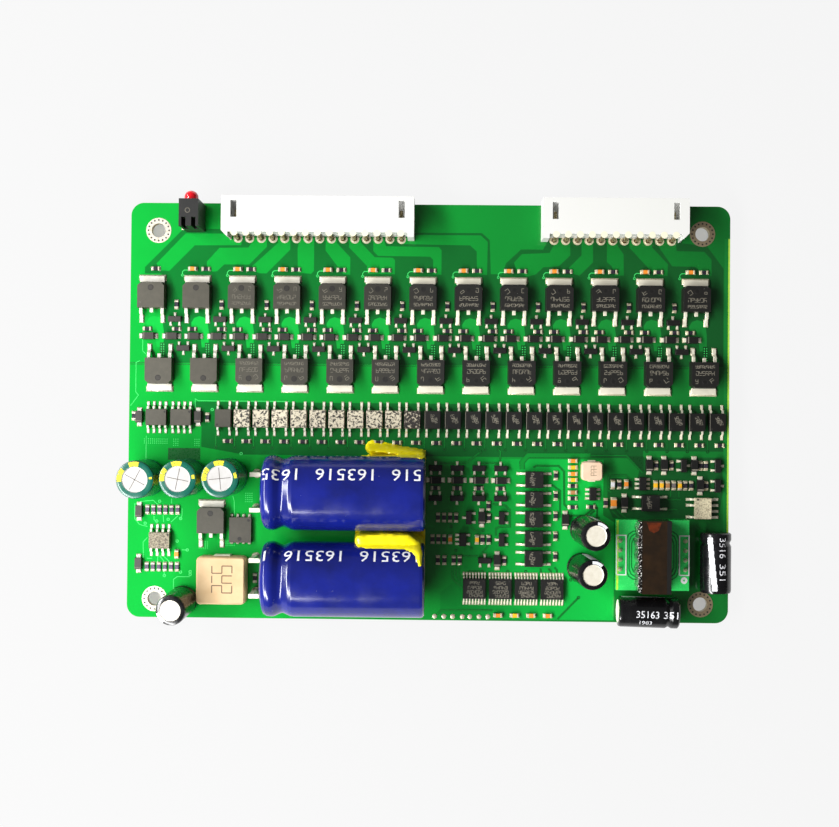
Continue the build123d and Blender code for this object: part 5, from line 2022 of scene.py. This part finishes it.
@dataclass
class Glue:
    """The yellow fixing glue: soft beads drawn over the shoulders of the cans.

    Attributes:
        step: the mesh width of its skin.
        radius: the radius of the cans that it lies on.
        valley: how high the bridge fills the gap between the cans.
        foot: where the slope beside the can begins in Y, and how wide it is.
        slope: how high that slope climbs above the board.
        bridge: the bead between the cans: place in X and Y and half its width, from point to point.
        fillet: the bead beside the upper can.
        thick: how thick a bead is over its middle.
        drop: how far the skin dips away beside a bead.
    """

    step: float = 0.25
    radius: float = 7.93
    axis_height: float = 9.5
    rows: Point = (-16.4, -34.5)
    valley: float = 12.0
    foot: Point = (-8.5, 2.5)
    slope: float = 5.0
    thick: float = 0.7
    drop: float = 8.0
    bridge: Bead = (
        (-13.7, -26.3, 1.3), (-9.0, -26.2, 1.5), (-4.2, -26.3, 1.55), (-2.4, -27.2, 1.3), (-1.6, -28.6, 0.9),
        (-1.3, -30.6, 0.45))
    bridge_field: tuple[Point, Point] = ((-15.4, -0.4), (-31.6, -24.2))
    fillet: Bead = ((-12.0, -6.6, 1.5), (-9.6, -6.9, 1.35), (-5.6, -7.6, 1.1), (-1.2, -8.1, 0.9))
    fillet_field: tuple[Point, Point] = ((-14.3, -0.4), (-10.2, -4.8))

    def floor(self, y: float, fillet: bool) -> float:
        """Return the height of what the glue lies on.

        Args:
            y: the place across the cans.
            fillet: whether this is the glue beside the upper can, which stands on the board.

        Returns:
            The height in millimetres.
        """
        heights = [1.5 if fillet else self.valley]
        for row in self.rows:
            off = abs(y - row)
            if off < self.radius:
                heights.append(self.axis_height + math.sqrt(self.radius**2 - off**2))
        return max(heights)

    def swell(self, x: float, y: float, bead: Bead) -> float:
        """Return how far a place lies inside a bead: one over its middle, zero at its edge.

        Args:
            x: the place along X.
            y: the place along Y.
            bead: its points and half widths.

        Returns:
            The share, below zero outside.
        """
        best = -1.0
        spot = Vector((x, y))
        for (ax, ay, aw), (bx, by, bw) in zip(bead, bead[1:]):
            a, b = Vector((ax, ay)), Vector((bx, by))
            along = min(1.0, max(0.0, (spot - a).dot(b - a) / (b - a).length_squared))
            wide = aw + (bw - aw) * along
            best = max(best, 1 - ((spot - a.lerp(b, along)).length / wide) ** 2)
        return best

    def skin(self, x: Point, y: Point, bead: Bead, fillet: bool) -> Form:
        """Return a height field that dips under the cans wherever there is no glue.

        Args:
            x: its range along X.
            y: its range along Y.
            bead: its points and half widths.
            fillet: whether this is the glue beside the upper can.

        Returns:
            The glue's skin.
        """
        nx, ny = (round((r[1] - r[0]) / self.step) for r in (x, y))
        form = Form()
        for j in range(ny + 1):
            for i in range(nx + 1):
                a, b = x[0] + (x[1] - x[0]) * i / nx, y[0] + (y[1] - y[0]) * j / ny
                share = self.swell(a, b, bead) + 0.05 * math.sin(1.9 * a) * math.sin(1.3 * b + a)
                under = self.floor(b, fillet)
                if fillet:
                    side, reach = self.foot
                    slope = BOARD_TOP + self.slope * min(1.0, max(0.0, 1 - (b - side) / reach))
                    under += max(0.0, slope - under) * min(1.0, max(0.0, share / 0.6))
                if share < 0:
                    under -= self.drop * min(1.0, -share)
                form.points.append((a, b, max(1.5, under + self.thick * min(1.0, share))))
        for j in range(ny):
            for i in range(nx):
                k = j * (nx + 1) + i
                form.faces.append((k, k + 1, k + nx + 2, k + nx + 1))
                form.finishes.append(0)
        return form

    def build(self, bench: Bench) -> None:
        """Build the bridge and the fillet.

        Args:
            bench: where pieces are made.
        """
        bridge = self.skin(*self.bridge_field, self.bridge, False)
        bench.piece("glue_over_valley", bridge, [YELLOW_GLUE], ("glue_bridge",))
        fillet = self.skin(*self.fillet_field, self.fillet, True)
        bench.piece("glue_on_shoulder", fillet, [YELLOW_GLUE], ("glue_fillet",))


@dataclass
class Connectors:
    """The two shrouds with their bent pins, ring pads and pale discs of painted light where the pins show in
    the nylon.
    """

    pin_y: float = 38.4
    # The pale discs of painted light over the pins: their place in Y and their radius.
    pin_light_disc: Point = (38.85, 0.72)
    housing_top: float = 7.8
    ring: Point = (0.42, 0.98)
    joint: tuple[Point, ...] = ((0.8, 0.0), (0.55, 0.25), (0.42, 0.7))

    def build(self, bench: Bench) -> None:
        """Dress the shrouds and pins, and add the pads.

        Args:
            bench: where pieces are made.
        """
        pads, pin_light_discs = Form(), Form()
        joint = Form().lathe(list(self.joint), 16, [0, 1])
        for side in ("left", "right"):
            bench.dress(side + "_connector_housing", WHITE_NYLON)
            bench.dress(side + "_connector_pins", TINNED_BRASS)
            for solid in bench.solids(side + "_connector_pins"):
                x = solid.centre.x
                pads.ring(x, self.pin_y, BOARD_TOP + 0.06, self.ring, 0, 0.06)
                pads.add(joint, at(x, self.pin_y, BOARD_TOP))
                # Painted light: a pale disc over each pin on the shroud's top.
                pin_light_discs.disc(x, self.pin_light_disc[0], self.housing_top + PRINT_FILM, self.pin_light_disc[1])
        bench.piece("connector_pads", pads, [TINNED_PAD, BROWN_FLUX])
        bench.piece("painted_pin_lights", pin_light_discs, [PIN_LIGHT_PAINT])


@dataclass
class Lamp:
    """The indicator: black holder and red lens with a domed end."""

    spot: Triple = (-50.9, 45.5, 7.2)
    radius: float = 1.5
    reach: float = 2.2
    dome: float = 0.9
    mark: Triple = (-51.1, 43.0, 10.62)

    def build(self, bench: Bench) -> None:
        """Build the lens and dress the holder.

        Args:
            bench: where pieces are made.
        """
        bench.dress("led_holder", BLACK_NYLON)
        r, rise = self.radius, self.radius * self.dome
        straight = self.reach - rise
        profile = [(r, 0.0), (r, straight)]
        for degrees in range(15, 90, 15):
            a = math.radians(degrees)
            profile.append((r * math.cos(a), straight + rise * math.sin(a)))
        mark = Form().ring(*self.mark, (0.4, 0.56), 0, 0.03)
        bench.piece("holder_mark", mark, [LASER_MARK])
        place = Matrix.Translation(self.spot) @ Matrix.Rotation(-math.pi / 2, 4, "X")
        lens = Form().add(Form().lathe(profile, 32), place)
        bench.piece("lamp_lens", lens, [RED_EPOXY], ("led_lens",))


@dataclass
class Underside:
    """The soldered tails below the board and the pads round them."""

    profile: tuple[Point, ...] = ((0.22, -1.5), (0.3, -1.35), (0.42, -0.75), (0.72, -0.25), (0.9, 0.0))
    ring: Point = (0.88, 1.15)

    def build(self, bench: Bench) -> None:
        """Build one cone of solder for each tail.

        Args:
            bench: where pieces are made.
        """
        cone = Form().lathe(list(self.profile), 14)
        form = Form()
        for solid in bench.solids("solder_joints"):
            form.add(cone, at(*solid.centre.xy))
            form.ring(*solid.centre.xy, 0.0, self.ring, 0, 0.03)
        bench.piece("soldered_tails", form, [SOLDER], ("solder_joints",))


def main() -> None:
    """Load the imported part, dress it and set the studio."""
    logging.basicConfig(level=logging.INFO, format="%(name)s: %(message)s")
    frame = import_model()
    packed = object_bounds()
    bench = Bench(frame["nodes"])
    Studio().build(packed[0][2] / MM)
    BoardFace().build(bench)
    for row, turn, seed in (("upper_switch", 0, 11), ("lower_switch", 180, 12), ("converter_switch", 0, 13)):
        SwitchRow(row, turn, seed).build(bench)
    for package in packages():
        package.build(bench)
    groups = (Connectors, Lamp, Chips, StandingCans, LyingCans, Inductors, Transformer, Glue, Underside)
    for group in groups:
        group().build(bench)


if __name__ == "__main__":
    main()
